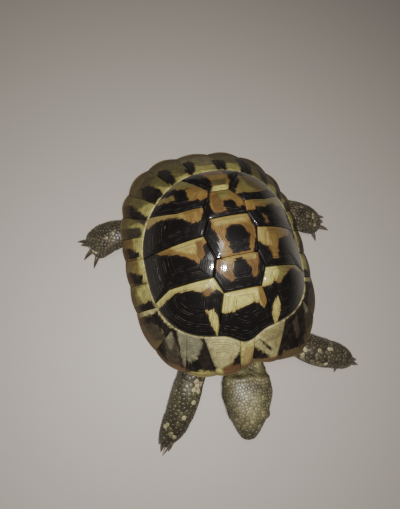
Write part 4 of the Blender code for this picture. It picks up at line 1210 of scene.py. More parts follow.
@dataclass
class Plastron:
    """Six pairs of plates under the body."""

    form: PlastronForm
    seams: SeamForm
    place: Frame
    middle: tuple = (-45.0, -33.5, -28.5, 13.0, 31.0)
    areolae: tuple = ((4.0, -51.0), (12.0, -42.0), (27.0, -25.0), (21.0, 0.0), (16.0, 29.0),
                      (9.0, 44.0))

    def bridge(self, low: float, high: float) -> list:
        """Plan points where the bridge meets the rim."""
        angles = np.linspace(low, high, max(3, int((high - low) / 1.5)))
        way = self.seams.direction(angles)
        reach = self.form.bridge_seam * self.seams.shell.reach(way[:, 0], way[:, 1])
        return [tuple(p) for p in way * reach[:, None] + np.array([0, self.seams.shell.centre_y])]

    def loops(self) -> dict[str, list]:
        """Plan loops of the left plates by name."""
        gular, humeral, pectoral, abdominal, femoral = self.middle
        shoulder, elbow = (10.5, -54.0), (25.0, -36.0)
        groin, thigh = (30.5, 25.5), (23.0, 46.0)
        rim = self.seams.rim_seams
        return {
            "gular": [(0.0, -53.0), (5.0, -55.5), shoulder, (0.0, gular)],
            "humeral": [shoulder, (17.0, -49.5), (22.0, -42.5), elbow, (12.0, -34.5),
                        (0.0, humeral), (0.0, gular)],
            "pectoral": [elbow, (29.0, -30.0), (37.0, -25.0)] + self.bridge(rim[4], rim[5])
            + [(32.0, -14.0), (18.0, -22.0), (0.0, pectoral), (0.0, humeral), (12.0, -34.5)],
            "abdominal": self.bridge(rim[5], rim[7]) + [(38.0, 20.6), groin, (14.0, 17.0),
                                                        (0.0, abdominal), (0.0, pectoral),
                                                        (18.0, -22.0), (32.0, -14.0)],
            "femoral": [groin, (27.5, 36.0), thigh, (11.0, 38.0), (0.0, femoral),
                        (0.0, abdominal), (14.0, 17.0)],
            "anal": [thigh, (15.0, 52.5), (6.0, 53.0), (0.0, 46.5), (0.0, femoral),
                     (11.0, 38.0)],
        }

    def band(self) -> Markings:
        """Straw horn with one long black band on each side of the middle."""
        return Markings(Tone.STRAW, (
            pale(Tone.LEMON, (0, -60), (60, -60), (60, 60), (26, 60), (26, -30), (0, -45)),
            black((5.5, -47.5), (9, -51), (14, -47), (19, -38), (21.5, -30), (22.5, -21), (21, -14),
                  (21.5, 6), (22.5, 18), (22, 30), (18.5, 36.5), (15, 46), (9.5, 49), (5.5, 43),
                  (4.5, 31), (6.5, 22), (5, 14), (7.5, 2), (5.5, -9), (7.5, -22), (6, -31),
                  (7, -39))))

    def build(self, material: bpy.types.Material) -> int:
        """Builds the twelve plates and returns how many."""
        look = self.band()
        for (word, loop), heart in zip(self.loops().items(), self.areolae):
            left = np.array(loop, float)
            for side, plate_look, turn in (("left", look, 1.0), ("right", look.mirrored(), -1.0)):
                DomePlate(f"{word}_scute_{side}", left * np.array([turn, 1.0]),
                          (heart[0] * turn, heart[1]), plate_look, self.form, rise=0.04,
                          thickness=2.1, relief=0.02, ring_width=1.7, slot="belly_horn",
                          row_step=0.5, edge_step=0.7).build(self.place, material)
        return 12


# ------------------------------------------------------------------ flesh

@dataclass
class Tube:
    """A neck, head, tail or leg as a path of oval sections.

    Each section is centre x, y, z, half width, rise, drop and squareness.
    """

    name: str
    sections: list
    facing: tuple | None = None
    around: int = 48
    step: float = 0.8
    rows: np.ndarray = field(init=False)

    def __post_init__(self) -> None:
        """Draws a smooth path through the sections."""
        keys = np.array(self.sections, float)
        lengths = np.linalg.norm(np.diff(keys[:, :3], axis=0), axis=1)
        knots = np.concatenate([[0.0], np.cumsum(lengths)])
        places = np.linspace(0.0, knots[-1], max(6, int(knots[-1] / self.step)))
        slopes = np.gradient(keys, knots, axis=0)
        spans = np.clip(np.searchsorted(knots, places, side="right") - 1, 0, len(knots) - 2)
        width = (knots[spans + 1] - knots[spans])[:, None]
        t = (places - knots[spans])[:, None] / width
        self.rows = ((2 * t ** 3 - 3 * t ** 2 + 1) * keys[spans]
                     + (t ** 3 - 2 * t ** 2 + t) * width * slopes[spans]
                     + (3 * t ** 2 - 2 * t ** 3) * keys[spans + 1]
                     + (t ** 3 - t ** 2) * width * slopes[spans + 1])

    def axes(self) -> tuple[np.ndarray, np.ndarray, np.ndarray]:
        """Unit directions along, across and up at every row."""
        along = np.gradient(self.rows[:, :3], axis=0)
        if self.facing is not None:
            along = np.broadcast_to(np.array(self.facing, float), along.shape)
        along = unit(along)
        across = unit(np.cross(along, np.array([0.0, 0.0, 1.0])))
        return along, across, np.cross(across, along)

    def mesh(self, shrink: float) -> tuple[np.ndarray, list]:
        """Points and faces of the closed tube, drawn in by a distance."""
        _, across, upward = self.axes()
        turn = np.linspace(0.0, 2 * math.pi, self.around, endpoint=False)
        c, s = np.cos(turn)[None], np.sin(turn)[None]
        power = self.rows[:, 6:7]
        reach = (np.abs(c) ** power + np.abs(s) ** power) ** (-1.0 / power)
        wide = np.maximum(0.3, self.rows[:, 3:4] - shrink)
        tall = np.where(s > 0, self.rows[:, 4:5], self.rows[:, 5:6])
        tall = np.maximum(0.3, tall - shrink)
        ring = (self.rows[:, None, :3] + across[:, None] * (c * reach * wide)[..., None]
                + upward[:, None] * (s * reach * tall)[..., None])
        return closed_rows(self.rows[0, :3], ring, self.rows[-1, :3])

    def local(self, points: np.ndarray) -> tuple[np.ndarray, np.ndarray, np.ndarray]:
        """Where points lie on the tube.

        Args:
            points: places in the shell's frame.

        Returns:
            Share along the tube, angle around it from its right side over the top, and
            distance from its axis as a share of its size.
        """
        _, across, upward = self.axes()
        size = (self.rows[:, 3] + 0.5 * (self.rows[:, 4] + self.rows[:, 5])) / 2
        away = np.empty(len(points))
        nearest = np.empty(len(points), int)
        for start in range(0, len(points), 4000):
            part = points[start:start + 4000]
            gaps = np.linalg.norm(part[:, None] - self.rows[None, :, :3], axis=-1) / size
            nearest[start:start + 4000] = gaps.argmin(axis=1)
            away[start:start + 4000] = gaps.min(axis=1)
        off = points - self.rows[nearest, :3]
        angle = np.arctan2((off * upward[nearest]).sum(-1), (off * across[nearest]).sum(-1))
        return nearest / (len(self.rows) - 1), angle, away


@dataclass(frozen=True)
class HeadForm:
    """Where the head points, and the places of its features along, across and up."""

    snout: tuple = (-6.2, -93.1, 25.0)
    back: tuple = (-0.2, -63.6, 28.2)
    sections: tuple = ((0.0, 2.8, 2.7, 3.6), (1.2, 4.1, 4.3, 5.0), (4.0, 6.1, 6.1, 5.9),
                       (8.0, 8.5, 7.7, 6.8), (12.0, 10.4, 8.7, 7.4), (17.0, 12.2, 9.3, 8.1),
                       (22.0, 13.0, 9.2, 8.4), (26.5, 12.9, 8.4, 8.2), (30.0, 12.1, 7.4, 7.8))
    squareness: float = 2.3
    eye_radius: float = 2.6
    eye_back: float = 13.0
    eye_out: float = 8.1
    eye_up: float = 2.4

    def axes(self) -> tuple[np.ndarray, np.ndarray, np.ndarray]:
        """Unit directions towards the snout, to the head's left side and up."""
        forward = unit(np.array(self.snout) - np.array(self.back))
        left = unit(np.cross(np.array([0.0, 0.0, 1.0]), forward))
        return forward, left, np.cross(forward, left)

    def world(self, back: float, side: float, up: float) -> np.ndarray:
        """Place in the shell's frame of a spot in the head's own terms."""
        forward, left, above = self.axes()
        return np.array(self.snout) - forward * back + left * side + above * up

    def local(self, points: np.ndarray) -> np.ndarray:
        """Points in the head's own terms: back from the snout, left and up."""
        forward, left, above = self.axes()
        off = points - np.array(self.snout)
        return np.stack([-(off @ forward), off @ left, off @ above], axis=-1)

    def tube(self) -> Tube:
        """The head as a tube from its back to the snout."""
        forward = self.axes()[0]
        sections = []
        for back, wide, rise, drop in reversed(self.sections):
            centre = np.array(self.snout) - forward * back
            sections.append((*centre, wide, rise, drop, self.squareness))
        sections.append((*self.snout + forward * 0.35, 1.4, 1.4, 2.1, 2.0))
        return Tube("head", sections, tuple(forward), around=64, step=0.5)

    def mouth_height(self, back: np.ndarray) -> np.ndarray:
        """Height of the mouth line at a distance behind the snout."""
        return -3.1 + 0.10 * back - 0.5 * np.exp(-(back / 2.2) ** 2)


@dataclass
class Bodywork:
    """All the tubes that make the flesh, with the trunk between them."""

    shell: ShellForm
    seams: SeamForm
    plastron: PlastronForm
    head: HeadForm
    legs: dict = field(default_factory=lambda: {
        "foreleg_right": [(-21.5, -45.0, 18.0, 7.2, 6.0, 6.0), (-26.5, -56.5, 17.8, 7.8, 6.8, 6.8),
                          (-31.5, -66.0, 16.0, 8.2, 7.0, 7.0), (-36.1, -74.5, 12.4, 8.0, 6.4, 6.4),
                          (-41.2, -82.0, 8.0, 7.2, 5.6, 6.4), (-45.5, -87.2, 4.6, 5.1, 4.8, 6.0),
                          (-47.1, -90.2, 3.2, 3.4, 3.4, 4.6)],
        "foreleg_left": [(24.0, -45.0, 18.0, 7.2, 6.0, 6.0), (35.0, -54.6, 17.6, 8.0, 6.8, 6.8),
                         (43.6, -60.2, 15.8, 8.4, 7.0, 7.0), (52.6, -64.2, 12.0, 8.2, 6.3, 6.3),
                         (60.4, -67.4, 7.8, 7.4, 5.6, 6.4), (65.4, -70.4, 4.4, 5.9, 4.7, 6.0),
                         (67.5, -72.0, 3.2, 4.3, 3.4, 4.6)],
        "hindleg_right": [(-32.0, 30.5, 15.8, 6.6, 5.8, 5.8), (-44.5, 28.6, 13.6, 6.4, 5.4, 5.4),
                          (-52.2, 27.2, 13.0, 8.8, 6.6, 6.6), (-58.6, 26.6, 10.6, 9.5, 7.0, 7.0),
                          (-63.2, 25.6, 7.0, 9.2, 6.2, 7.4), (-66.3, 24.1, 4.2, 8.2, 4.8, 6.0),
                          (-67.8, 23.5, 3.4, 6.4, 3.6, 4.6)],
        "hindleg_left": [(32.0, 30.0, 15.8, 6.6, 5.8, 5.8), (44.0, 27.2, 13.6, 6.2, 5.4, 5.4),
                         (52.8, 21.6, 13.0, 8.4, 6.6, 6.6), (59.6, 18.8, 10.6, 9.2, 7.0, 7.0),
                         (66.0, 16.4, 7.0, 8.8, 6.2, 7.4), (70.8, 14.6, 4.2, 7.2, 4.8, 6.0),
                         (72.8, 13.8, 3.4, 5.2, 3.6, 4.6)],
    })
    tail: tuple = ((0.0, 38.0, 15.0, 5.6, 4.2), (1.2, 49.0, 14.6, 5.2, 4.2),
                   (5.2, 56.0, 13.0, 4.0, 3.4), (10.2, 58.6, 11.2, 2.7, 2.4),
                   (15.0, 58.4, 9.8, 1.5, 1.4), (18.0, 57.2, 9.2, 0.7, 0.7))
    neck: tuple = ((0.0, -38.0, 20.4, 9.6, 7.0, 7.0), (0.4, -50.0, 20.4, 11.0, 7.8, 7.8),
                   (0.6, -57.0, 20.9, 11.9, 8.0, 8.0), (0.5, -60.2, 22.0, 12.2, 7.8, 7.8))

    def tubes(self) -> list[Tube]:
        """Neck, head, tail and legs, the legs drawn on into the trunk."""
        made = []
        for name, sections in self.legs.items():
            first, second = np.array(sections[0]), np.array(sections[1])
            root = first.copy()
            root[:3] += (first - second)[:3] * 0.9
            rows = [(*row, 2.0) for row in [tuple(root)] + sections]
            last = np.array(sections[-1])
            toe = last + (last - np.array(sections[-2])) * 0.28
            rows.append((*toe[:3], last[3] * 0.72, last[4] * 0.7, last[5] * 0.8, 2.0))
            made.append(Tube(name, rows))
        made.append(Tube("tail", [(*row, row[4], 2.0) for row in self.tail], around=28, step=0.6))
        forward = self.head.axes()[0]
        back = np.array(self.head.back)
        rows = [(*row, 2.0) for row in self.neck]
        rows.append((*(back - forward * 0.35), 12.0, 7.0, 7.5, 2.1))
        rows.append((*(back + forward * 3.0), 12.2, 7.4, 7.8, 2.2))
        made.append(Tube("neck", rows, tuple(forward)))
        made.append(self.head.tube())
        return made

    def trunk(self, growth: float, steps: int = 90) -> tuple[np.ndarray, list]:
        """Points and faces of the trunk, grown by a distance."""
        angle = np.linspace(0.0, 360.0, steps, endpoint=False)
        half = np.where(angle <= 180.0, angle, 360.0 - angle)
        way = self.seams.direction(angle)
        rim = self.shell.reach(way[:, 0], way[:, 1])
        ring = np.linalg.norm(self.seams.ring(angle) - [0.0, self.shell.centre_y], axis=1)
        centre = np.array([0.0, self.shell.centre_y])
        depth = 2.5 - growth
        rows = []
        for away, under in ((0.28 * rim, depth), (0.52 * rim, depth), (0.93 * ring, depth),
                            (0.5 * (ring + rim), depth + 1.0)):
            rows.append(self.shell.point(way * away[:, None] + centre, under))
        under = smooth_step(half, 52.0, 60.0) * (1.0 - smooth_step(half, 108.0, 116.0))
        floor_z = self.plastron.low + 2.55 - growth
        edge = self.shell.rim_height(way[:, 1])
        for share, bridge, level in ((0.80, 0.04, 0), (0.76, 0.04, 1), (0.70, 0.02, 2)):
            plan = way * ((share + bridge * under) * rim + growth)[:, None] + centre
            belly = self.plastron.height(plan[:, 0], plan[:, 1]) - self.plastron.low
            heights = (edge + 1.5, 0.5 * (edge + floor_z) + 2.0 * under,
                       floor_z + belly * 1.15 + 0.9)
            rows.append(np.concatenate([plan, heights[level][:, None]], axis=1))
        plan = way * (0.45 * rim)[:, None] + centre
        rows.append(np.concatenate([plan, np.full((steps, 1), floor_z + 0.2)], axis=1))
        top = np.array([0.0, self.shell.centre_y, self.shell.top - depth])
        low = np.array([0.0, self.shell.centre_y, floor_z + 0.1])
        return closed_rows(top, np.array(rows), low)


@dataclass
class Skin:
    """One closed skin over the trunk, neck, head, tail and legs."""

    bodywork: Bodywork
    place: Frame
    shrink: float = 0.45
    voxel: float = 1.32
    sole: float = 0.35
    tubes: list = field(init=False)
    points: np.ndarray = field(init=False)
    item: bpy.types.Object = field(init=False)
    tree: BVHTree = field(init=False)

    def raw_mesh(self) -> bpy.types.Mesh:
        """Joins every closed part into one mesh of overlapping solids, in millimetres."""
        work = bmesh.new()
        parts = [tube.mesh(self.shrink) for tube in self.tubes]
        parts.append(self.bodywork.trunk(-0.5))
        for points, faces in parts:
            piece = bpy.data.meshes.new("part")
            piece.from_pydata(points.tolist(), [], faces)
            solid = bmesh.new()
            solid.from_mesh(piece)
            bmesh.ops.recalc_face_normals(solid, faces=solid.faces)
            solid.to_mesh(piece)
            solid.free()
            work.from_mesh(piece)
            bpy.data.meshes.remove(piece)
        mesh = bpy.data.meshes.new("flesh")
        work.to_mesh(mesh)
        work.free()
        return mesh

    def remesh(self, mesh: bpy.types.Mesh) -> bpy.types.Mesh:
        """Melts the solids into one even surface."""
        item = add_object("flesh", mesh)
        modifier = item.modifiers.new("voxels", "REMESH")
        modifier.mode = "VOXEL"
        modifier.voxel_size = self.voxel
        shown = item.evaluated_get(bpy.context.evaluated_depsgraph_get())
        melted = bpy.data.meshes.new_from_object(shown)
        bpy.data.objects.remove(item)
        return melted

    def head_share(self, points: np.ndarray) -> np.ndarray:
        """1 on the head, falling to 0 on the neck."""
        local = self.bodywork.head.local(points)
        return 1.0 - smooth_step(local[:, 0], 27.0, 33.0)

    def build(self, material: bpy.types.Material) -> bpy.types.Object:
        """Builds the skin.

        Args:
            material: the skin's finish.

        Returns:
            The skin, in place of the flesh nodes.
        """
        self.tubes = self.bodywork.tubes()
        mesh = self.remesh(self.raw_mesh())
        work = bmesh.new()
        work.from_mesh(mesh)
        for _ in range(2):
            self.smooth(work, work.verts[:])
        self.refine(work, self.limb_share)
        self.refine(work, self.head_share)
        points = np.array([v.co for v in work.verts])
        moved = HeadSculptor(self.bodywork.head).shape(points)
        moved = self.wrinkle(moved, np.array([v.normal for v in work.verts]))
        moved[:, 2] = np.maximum(moved[:, 2], self.sole)
        for vertex, co in zip(work.verts, moved):
            vertex.co = co
        work.normal_update()
        self.points = moved
        self.tree = BVHTree.FromBMesh(work)
        for vertex, co in zip(work.verts, self.place.to_metres(moved)):
            vertex.co = co
        work.to_mesh(mesh)
        work.free()
        mesh.shade_smooth()
        mesh.materials.clear()
        mesh.materials.append(material)
        for key, numbers in FleshLook(self).values(self.points).items():
            store(mesh, key, numbers)
        self.item = add_object("skin", mesh)
        return dress(self.item, "trunk", "neck", "head", "tail", "foreleg_left",
                     "foreleg_right", "hindleg_left", "hindleg_right", slot="skin")

    def limb_share(self, points: np.ndarray) -> np.ndarray:
        """1 on the legs, neck, head and tail, 0 on the trunk."""
        closest = np.full(len(points), 9.0)
        for tube in self.tubes:
            closest = np.minimum(closest, tube.local(points)[2])
        return (closest < 1.3).astype(float)

    def refine(self, work: bmesh.types.BMesh, share: Callable[[np.ndarray], np.ndarray]) -> None:
        """Splits the faces where share is high and smooths the new points."""
        chosen = share(np.array([v.co for v in work.verts])) > 0.5
        work.verts.index_update()
        edges = [e for e in work.edges if chosen[e.verts[0].index] and chosen[e.verts[1].index]]
        bmesh.ops.subdivide_edges(work, edges=edges, cuts=1, use_grid_fill=True)
        chosen = share(np.array([v.co for v in work.verts])) > 0.5
        verts = [v for v, hit in zip(work.verts, chosen) if hit]
        self.smooth(work, verts)

    @staticmethod
    def smooth(work: bmesh.types.BMesh, verts: list) -> None:
        """Evens out some points once."""
        bmesh.ops.smooth_vert(work, verts=verts, factor=0.5, use_axis_x=True, use_axis_y=True,
                              use_axis_z=True)

    def wrinkle(self, points: np.ndarray, normals: np.ndarray) -> np.ndarray:
        """Adds the folds of the neck and the bends of the legs."""
        moved = points.copy()
        for tube in self.tubes:
            share, angle, away = tube.local(points)
            near = 1.0 - smooth_step(away, 1.15, 1.35)
            if tube.name == "neck":
                outside = 1.0 - smooth_step(self.bodywork.head.local(points)[:, 0], 33.0, 38.0)
                along = self.bodywork.head.local(points)[:, 0]
                fold = np.sin(along * 2.1 + 1.2 * np.sin(angle * 3.0))
                fold += 0.6 * np.sin(angle * 11.0 + 0.6 * np.sin(along * 1.3))
                behind = smooth_step(along, 27.0, 30.0)
                moved += normals * (fold * 0.18 * near * behind * (0.4 + 0.6 * outside))[:, None]
            elif tube.name.startswith(("fore", "hind")):
                crease = np.exp(-((share - 0.72) / 0.03) ** 2) + np.exp(-((share - 0.42) / 0.035) ** 2)
                moved -= normals * (0.35 * crease * near)[:, None]
        return moved


@dataclass
class HeadSculptor:
    """Shapes brows, lids, mouth, nostrils and ears on the head's skin."""

    head: HeadForm
    lid: float = 0.24                  # how far the lids stand off the eyeball
    opening_long: float = 0.78         # half angles of the gap between the lids
    opening_high: float = 0.46

    def bump(self, local: np.ndarray, place: tuple, size: float) -> np.ndarray:
        """A soft round mask about a place on both sides of the head."""
        mirror = local * np.array([1.0, 0.0, 1.0]) + np.abs(local) * np.array([0.0, 1.0, 0.0])
        return np.exp(-(np.linalg.norm(mirror - np.array(place), axis=-1) / size) ** 2)

    def shape(self, points: np.ndarray) -> np.ndarray:
        """Moves the skin's points.

        Args:
            points: places in the shell's frame.

        Returns:
            The moved places.
        """
        local = self.head.local(points)
        on_head = 1.0 - smooth_step(local[:, 0], 24.0, 31.0)
        outward = unit(local * np.array([0.0, 1.0, 1.0]) + np.array([0.0, 0.0, 1e-6]))
        lift = 0.30 * self.bump(local, (12.4, 7.2, 6.2), 3.0)
        lift -= 0.22 * self.bump(local, (7.8, 7.0, 1.6), 2.6)
        lift += 0.40 * self.bump(local, (20.5, 12.0, -3.6), 4.0)
        ear = np.linalg.norm(local * np.array([1.0, 0.0, 1.0]) - np.array([22.6, 0.0, -0.8]), axis=-1)
        ear_side = smooth_step(np.abs(local[:, 1]), 8.0, 9.5)
        lift += ear_side * (0.3 * np.exp(-((ear - 3.0) / 0.6) ** 2)
                            - 0.35 * (1.0 - smooth_step(ear, 2.0, 2.8)))
        line = local[:, 2] - self.head.mouth_height(local[:, 0])
        reach = 1.0 - smooth_step(local[:, 0], 14.0, 16.5)
        lift -= 0.55 * reach * np.exp(-(line / 0.34) ** 2)
        moved = local + outward * (lift * on_head)[:, None]
        nostril = self.bump(local, (0.4, 1.25, 1.5), 0.62)
        moved[:, 0] += 0.9 * nostril
        for side in (1.0, -1.0):
            moved = self.shape_lids(moved, side)
        forward, left, above = self.head.axes()
        return (np.array(self.head.snout) - moved[:, :1] * forward + moved[:, 1:2] * left
                + moved[:, 2:] * above)

    def shape_lids(self, local: np.ndarray, side: float) -> np.ndarray:
        """Draws the skin over the eyeball as two lids with a gap between them."""
        centre = np.array([self.head.eye_back, side * self.head.eye_out, self.head.eye_up])
        off = local - centre
        out = off[:, 1] * side
        distance = np.linalg.norm(off, axis=1)
        along = np.arctan2(off[:, 0], np.maximum(out, 1e-6))
        height = np.arctan2(off[:, 2], np.maximum(out, 1e-6))
        gap = np.sqrt((along / self.opening_long) ** 2 + ((height - 0.02) / self.opening_high) ** 2)
        radius = self.head.eye_radius
        rim = radius + self.lid - 0.14 * np.exp(-((gap - 1.45) / 0.15) ** 2)
        edge = smooth_step(gap, 0.92, 1.08)
        target = (radius - 0.9) * (1 - edge) + rim * edge
        near = (1.0 - smooth_step(gap, 1.3, 1.9)) * (out > 0) * (distance < 6.5)
        aim = centre + unit(off) * target[:, None]
        drawn = local + (aim - local) * near[:, None]
        reach = np.linalg.norm(drawn - centre, axis=1)
        least = radius + 0.7 * self.lid
        bare = (gap > 1.04) & (out > -0.5) & (reach < least)
        return np.where(bare[:, None], centre + unit(drawn - centre) * least, drawn)


@dataclass
class FleshLook:
    """How pale, how green and how worn the flesh is at any place."""

    skin: Skin

    def values(self, points: np.ndarray) -> dict[str, np.ndarray]:
        """Numbers for the finish at points in the shell's frame.

        Args:
            points: places in the shell's frame.

        Returns:
            Values named hue (0 grey brown to 1 olive), light (0 dark to 1 pale) and horny.
        """
        head = self.skin.bodywork.head
        local = head.local(points)
        on_head = 1.0 - smooth_step(local[:, 0], 24.0, 31.0)
        on_neck = smooth_step(local[:, 0], 26.0, 31.0) * (1.0 - smooth_step(points[:, 1], -50, -40))
        on_neck = on_neck * (np.abs(points[:, 0]) < 14.5)
        hue = 0.35 + 0.35 * on_head + 0.45 * on_neck + 0.15 * wave_noise(points, 14.0, 3)
        crown = on_head * np.exp(-((local[:, 0] - 17.0) / 9.0) ** 2 - (local[:, 1] / 7.5) ** 2)
        light = 0.235 + (0.12 - 0.07 * on_head) * wave_noise(points, 9.0, 5)
        # Painted light: the crown's middle is made paler, on the upper half of the head only.
        light = light + 0.15 * on_neck + 0.22 * crown * (local[:, 2] > 0)
        light = light - 0.07 * on_head * (1.0 - smooth_step(local[:, 0], 4.0, 10.0))
        beak = on_head * (1.0 - smooth_step(local[:, 0], 4.0, 11.0))
        line = local[:, 2] - head.mouth_height(local[:, 0])
        beak = beak * (1.0 - smooth_step(np.abs(line), 1.0, 2.0))
        return {"hue": hue, "light": light, "horny": beak}


@dataclass(frozen=True)
class FleshFinish:
    """Dry reptile skin, used with a lower or a higher gloss for skin and scales."""

    name: str
    roughness: float = 0.5
    coat: float = 0.0
    grain: float = 0.10
    scaled: bool = False

    def build(self) -> bpy.types.Material:
        """Builds the material, which reads hue and light, and dome or horny, from the mesh."""
        finish = Finish(self.name, self.roughness, self.coat, 0.25)
        mottle = finish.noise(3.2, 4.0)
        fine = finish.noise(0.45, 3.0)
        light = finish.attribute("light") + (mottle - 0.5) * 0.28
        if self.scaled:
            light = light + (finish.random(finish.attribute("number")) - 0.5) * 0.17
        grey = finish.ramp(light, [
            (0.0, (0.014, 0.010, 0.006)), (0.25, (0.045, 0.034, 0.020)),
            (0.45, (0.105, 0.082, 0.048)), (0.7, (0.28, 0.230, 0.135)), (1.0, (0.60, 0.51, 0.30))])
        green = finish.ramp(light, [
            (0.0, (0.013, 0.011, 0.005)), (0.25, (0.043, 0.038, 0.018)),
            (0.45, (0.105, 0.095, 0.044)), (0.7, (0.28, 0.25, 0.13)), (1.0, (0.60, 0.52, 0.27))])
        hue = finish.attribute("hue").step(0.0, 1.0)
        colour = finish.mix(hue, grey, green)
        if self.scaled:
            dome = finish.attribute("dome")
            # Painted shade: each scale darkens down its sides towards the gaps between the scales.
            colour = finish.mix(dome.step(0.75, 0.05) * 0.55, colour, (0.030, 0.023, 0.016))
        else:
            colour = finish.mix(finish.attribute("horny") * 0.8, colour, (0.075, 0.048, 0.026))
        finish.feed("Base Color", colour)
        finish.feed("Roughness", self.roughness + (fine - 0.5) * 0.25)
        finish.bump(fine * 0.6 + mottle, self.grain, 0.8)
        return finish.material


# ------------------------------------------------------------------ scales

@dataclass(frozen=True)
class ScaleTree:
    """Geometry Nodes that raise flat cells into closed, domed scales."""

    shoulder: float = 0.93
    crown: float = 0.74

    def build(self) -> bpy.types.NodeTree:
        """Builds the node tree with its named inputs."""
        tree = bpy.data.node_groups.new("scale_tree", "GeometryNodeTree")
        for name, kind in (("Cells", "Geometry"), ("Shoulder", "Float"), ("Crown", "Float"),
                           ("Finish", "Material")):
            tree.interface.new_socket(name, in_out="INPUT", socket_type="NodeSocket" + kind)
        tree.interface.new_socket("Scales", in_out="OUTPUT", socket_type="NodeSocketGeometry")
        source = tree.nodes.new("NodeGroupInput").outputs
        lift = add_node(tree, "GeometryNodeInputNamedAttribute", {"data_type": "FLOAT_VECTOR"},
                        Name="lift").outputs["Attribute"]
        mesh, sockets = source["Cells"], {}
        for share, size in ((0.80, "Shoulder"), (0.20, "Crown")):
            raised = add_node(tree, "GeometryNodeExtrudeMesh", {"mode": "FACES"}, Mesh=mesh,
                              Offset=lift, Individual=True, Offset_Scale=share, **sockets).outputs
            sockets = {"Selection": raised["Top"]}
            mesh = add_node(tree, "GeometryNodeScaleElements", Geometry=raised["Mesh"],
                            Scale=source[size], **sockets).outputs["Geometry"]
        base = add_node(tree, "GeometryNodeFlipFaces", Mesh=source["Cells"])
        join = add_node(tree, "GeometryNodeJoinGeometry", Geometry=mesh)
        feed_socket(tree, join.inputs["Geometry"], base.outputs["Mesh"])
        weld = add_node(tree, "GeometryNodeMergeByDistance", Geometry=join.outputs["Geometry"],
                        Distance=1e-6)
        real = add_node(tree, "GeometryNodeRealizeInstances", Geometry=weld.outputs["Geometry"])
        paint = add_node(tree, "GeometryNodeSetMaterial", Geometry=real.outputs["Geometry"],
                         Material=source["Finish"])
        add_node(tree, "NodeGroupOutput", Scales=paint.outputs["Geometry"])
        return tree

    def apply(self, tree: bpy.types.NodeTree, item: bpy.types.Object,
              material: bpy.types.Material) -> bpy.types.Mesh:
        """Runs the tree on an object and returns the plain mesh it makes."""
        modifier = item.modifiers.new("scales", "NODES")
        modifier.node_group = tree
        values = {"Shoulder": self.shoulder, "Crown": self.crown, "Finish": material}
        for socket in tree.interface.items_tree:
            if socket.in_out == "INPUT" and socket.name in values:
                modifier[socket.identifier] = values[socket.name]
        shown = item.evaluated_get(bpy.context.evaluated_depsgraph_get())
        mesh = bpy.data.meshes.new_from_object(shown)
        item.modifiers.remove(modifier)
        return mesh


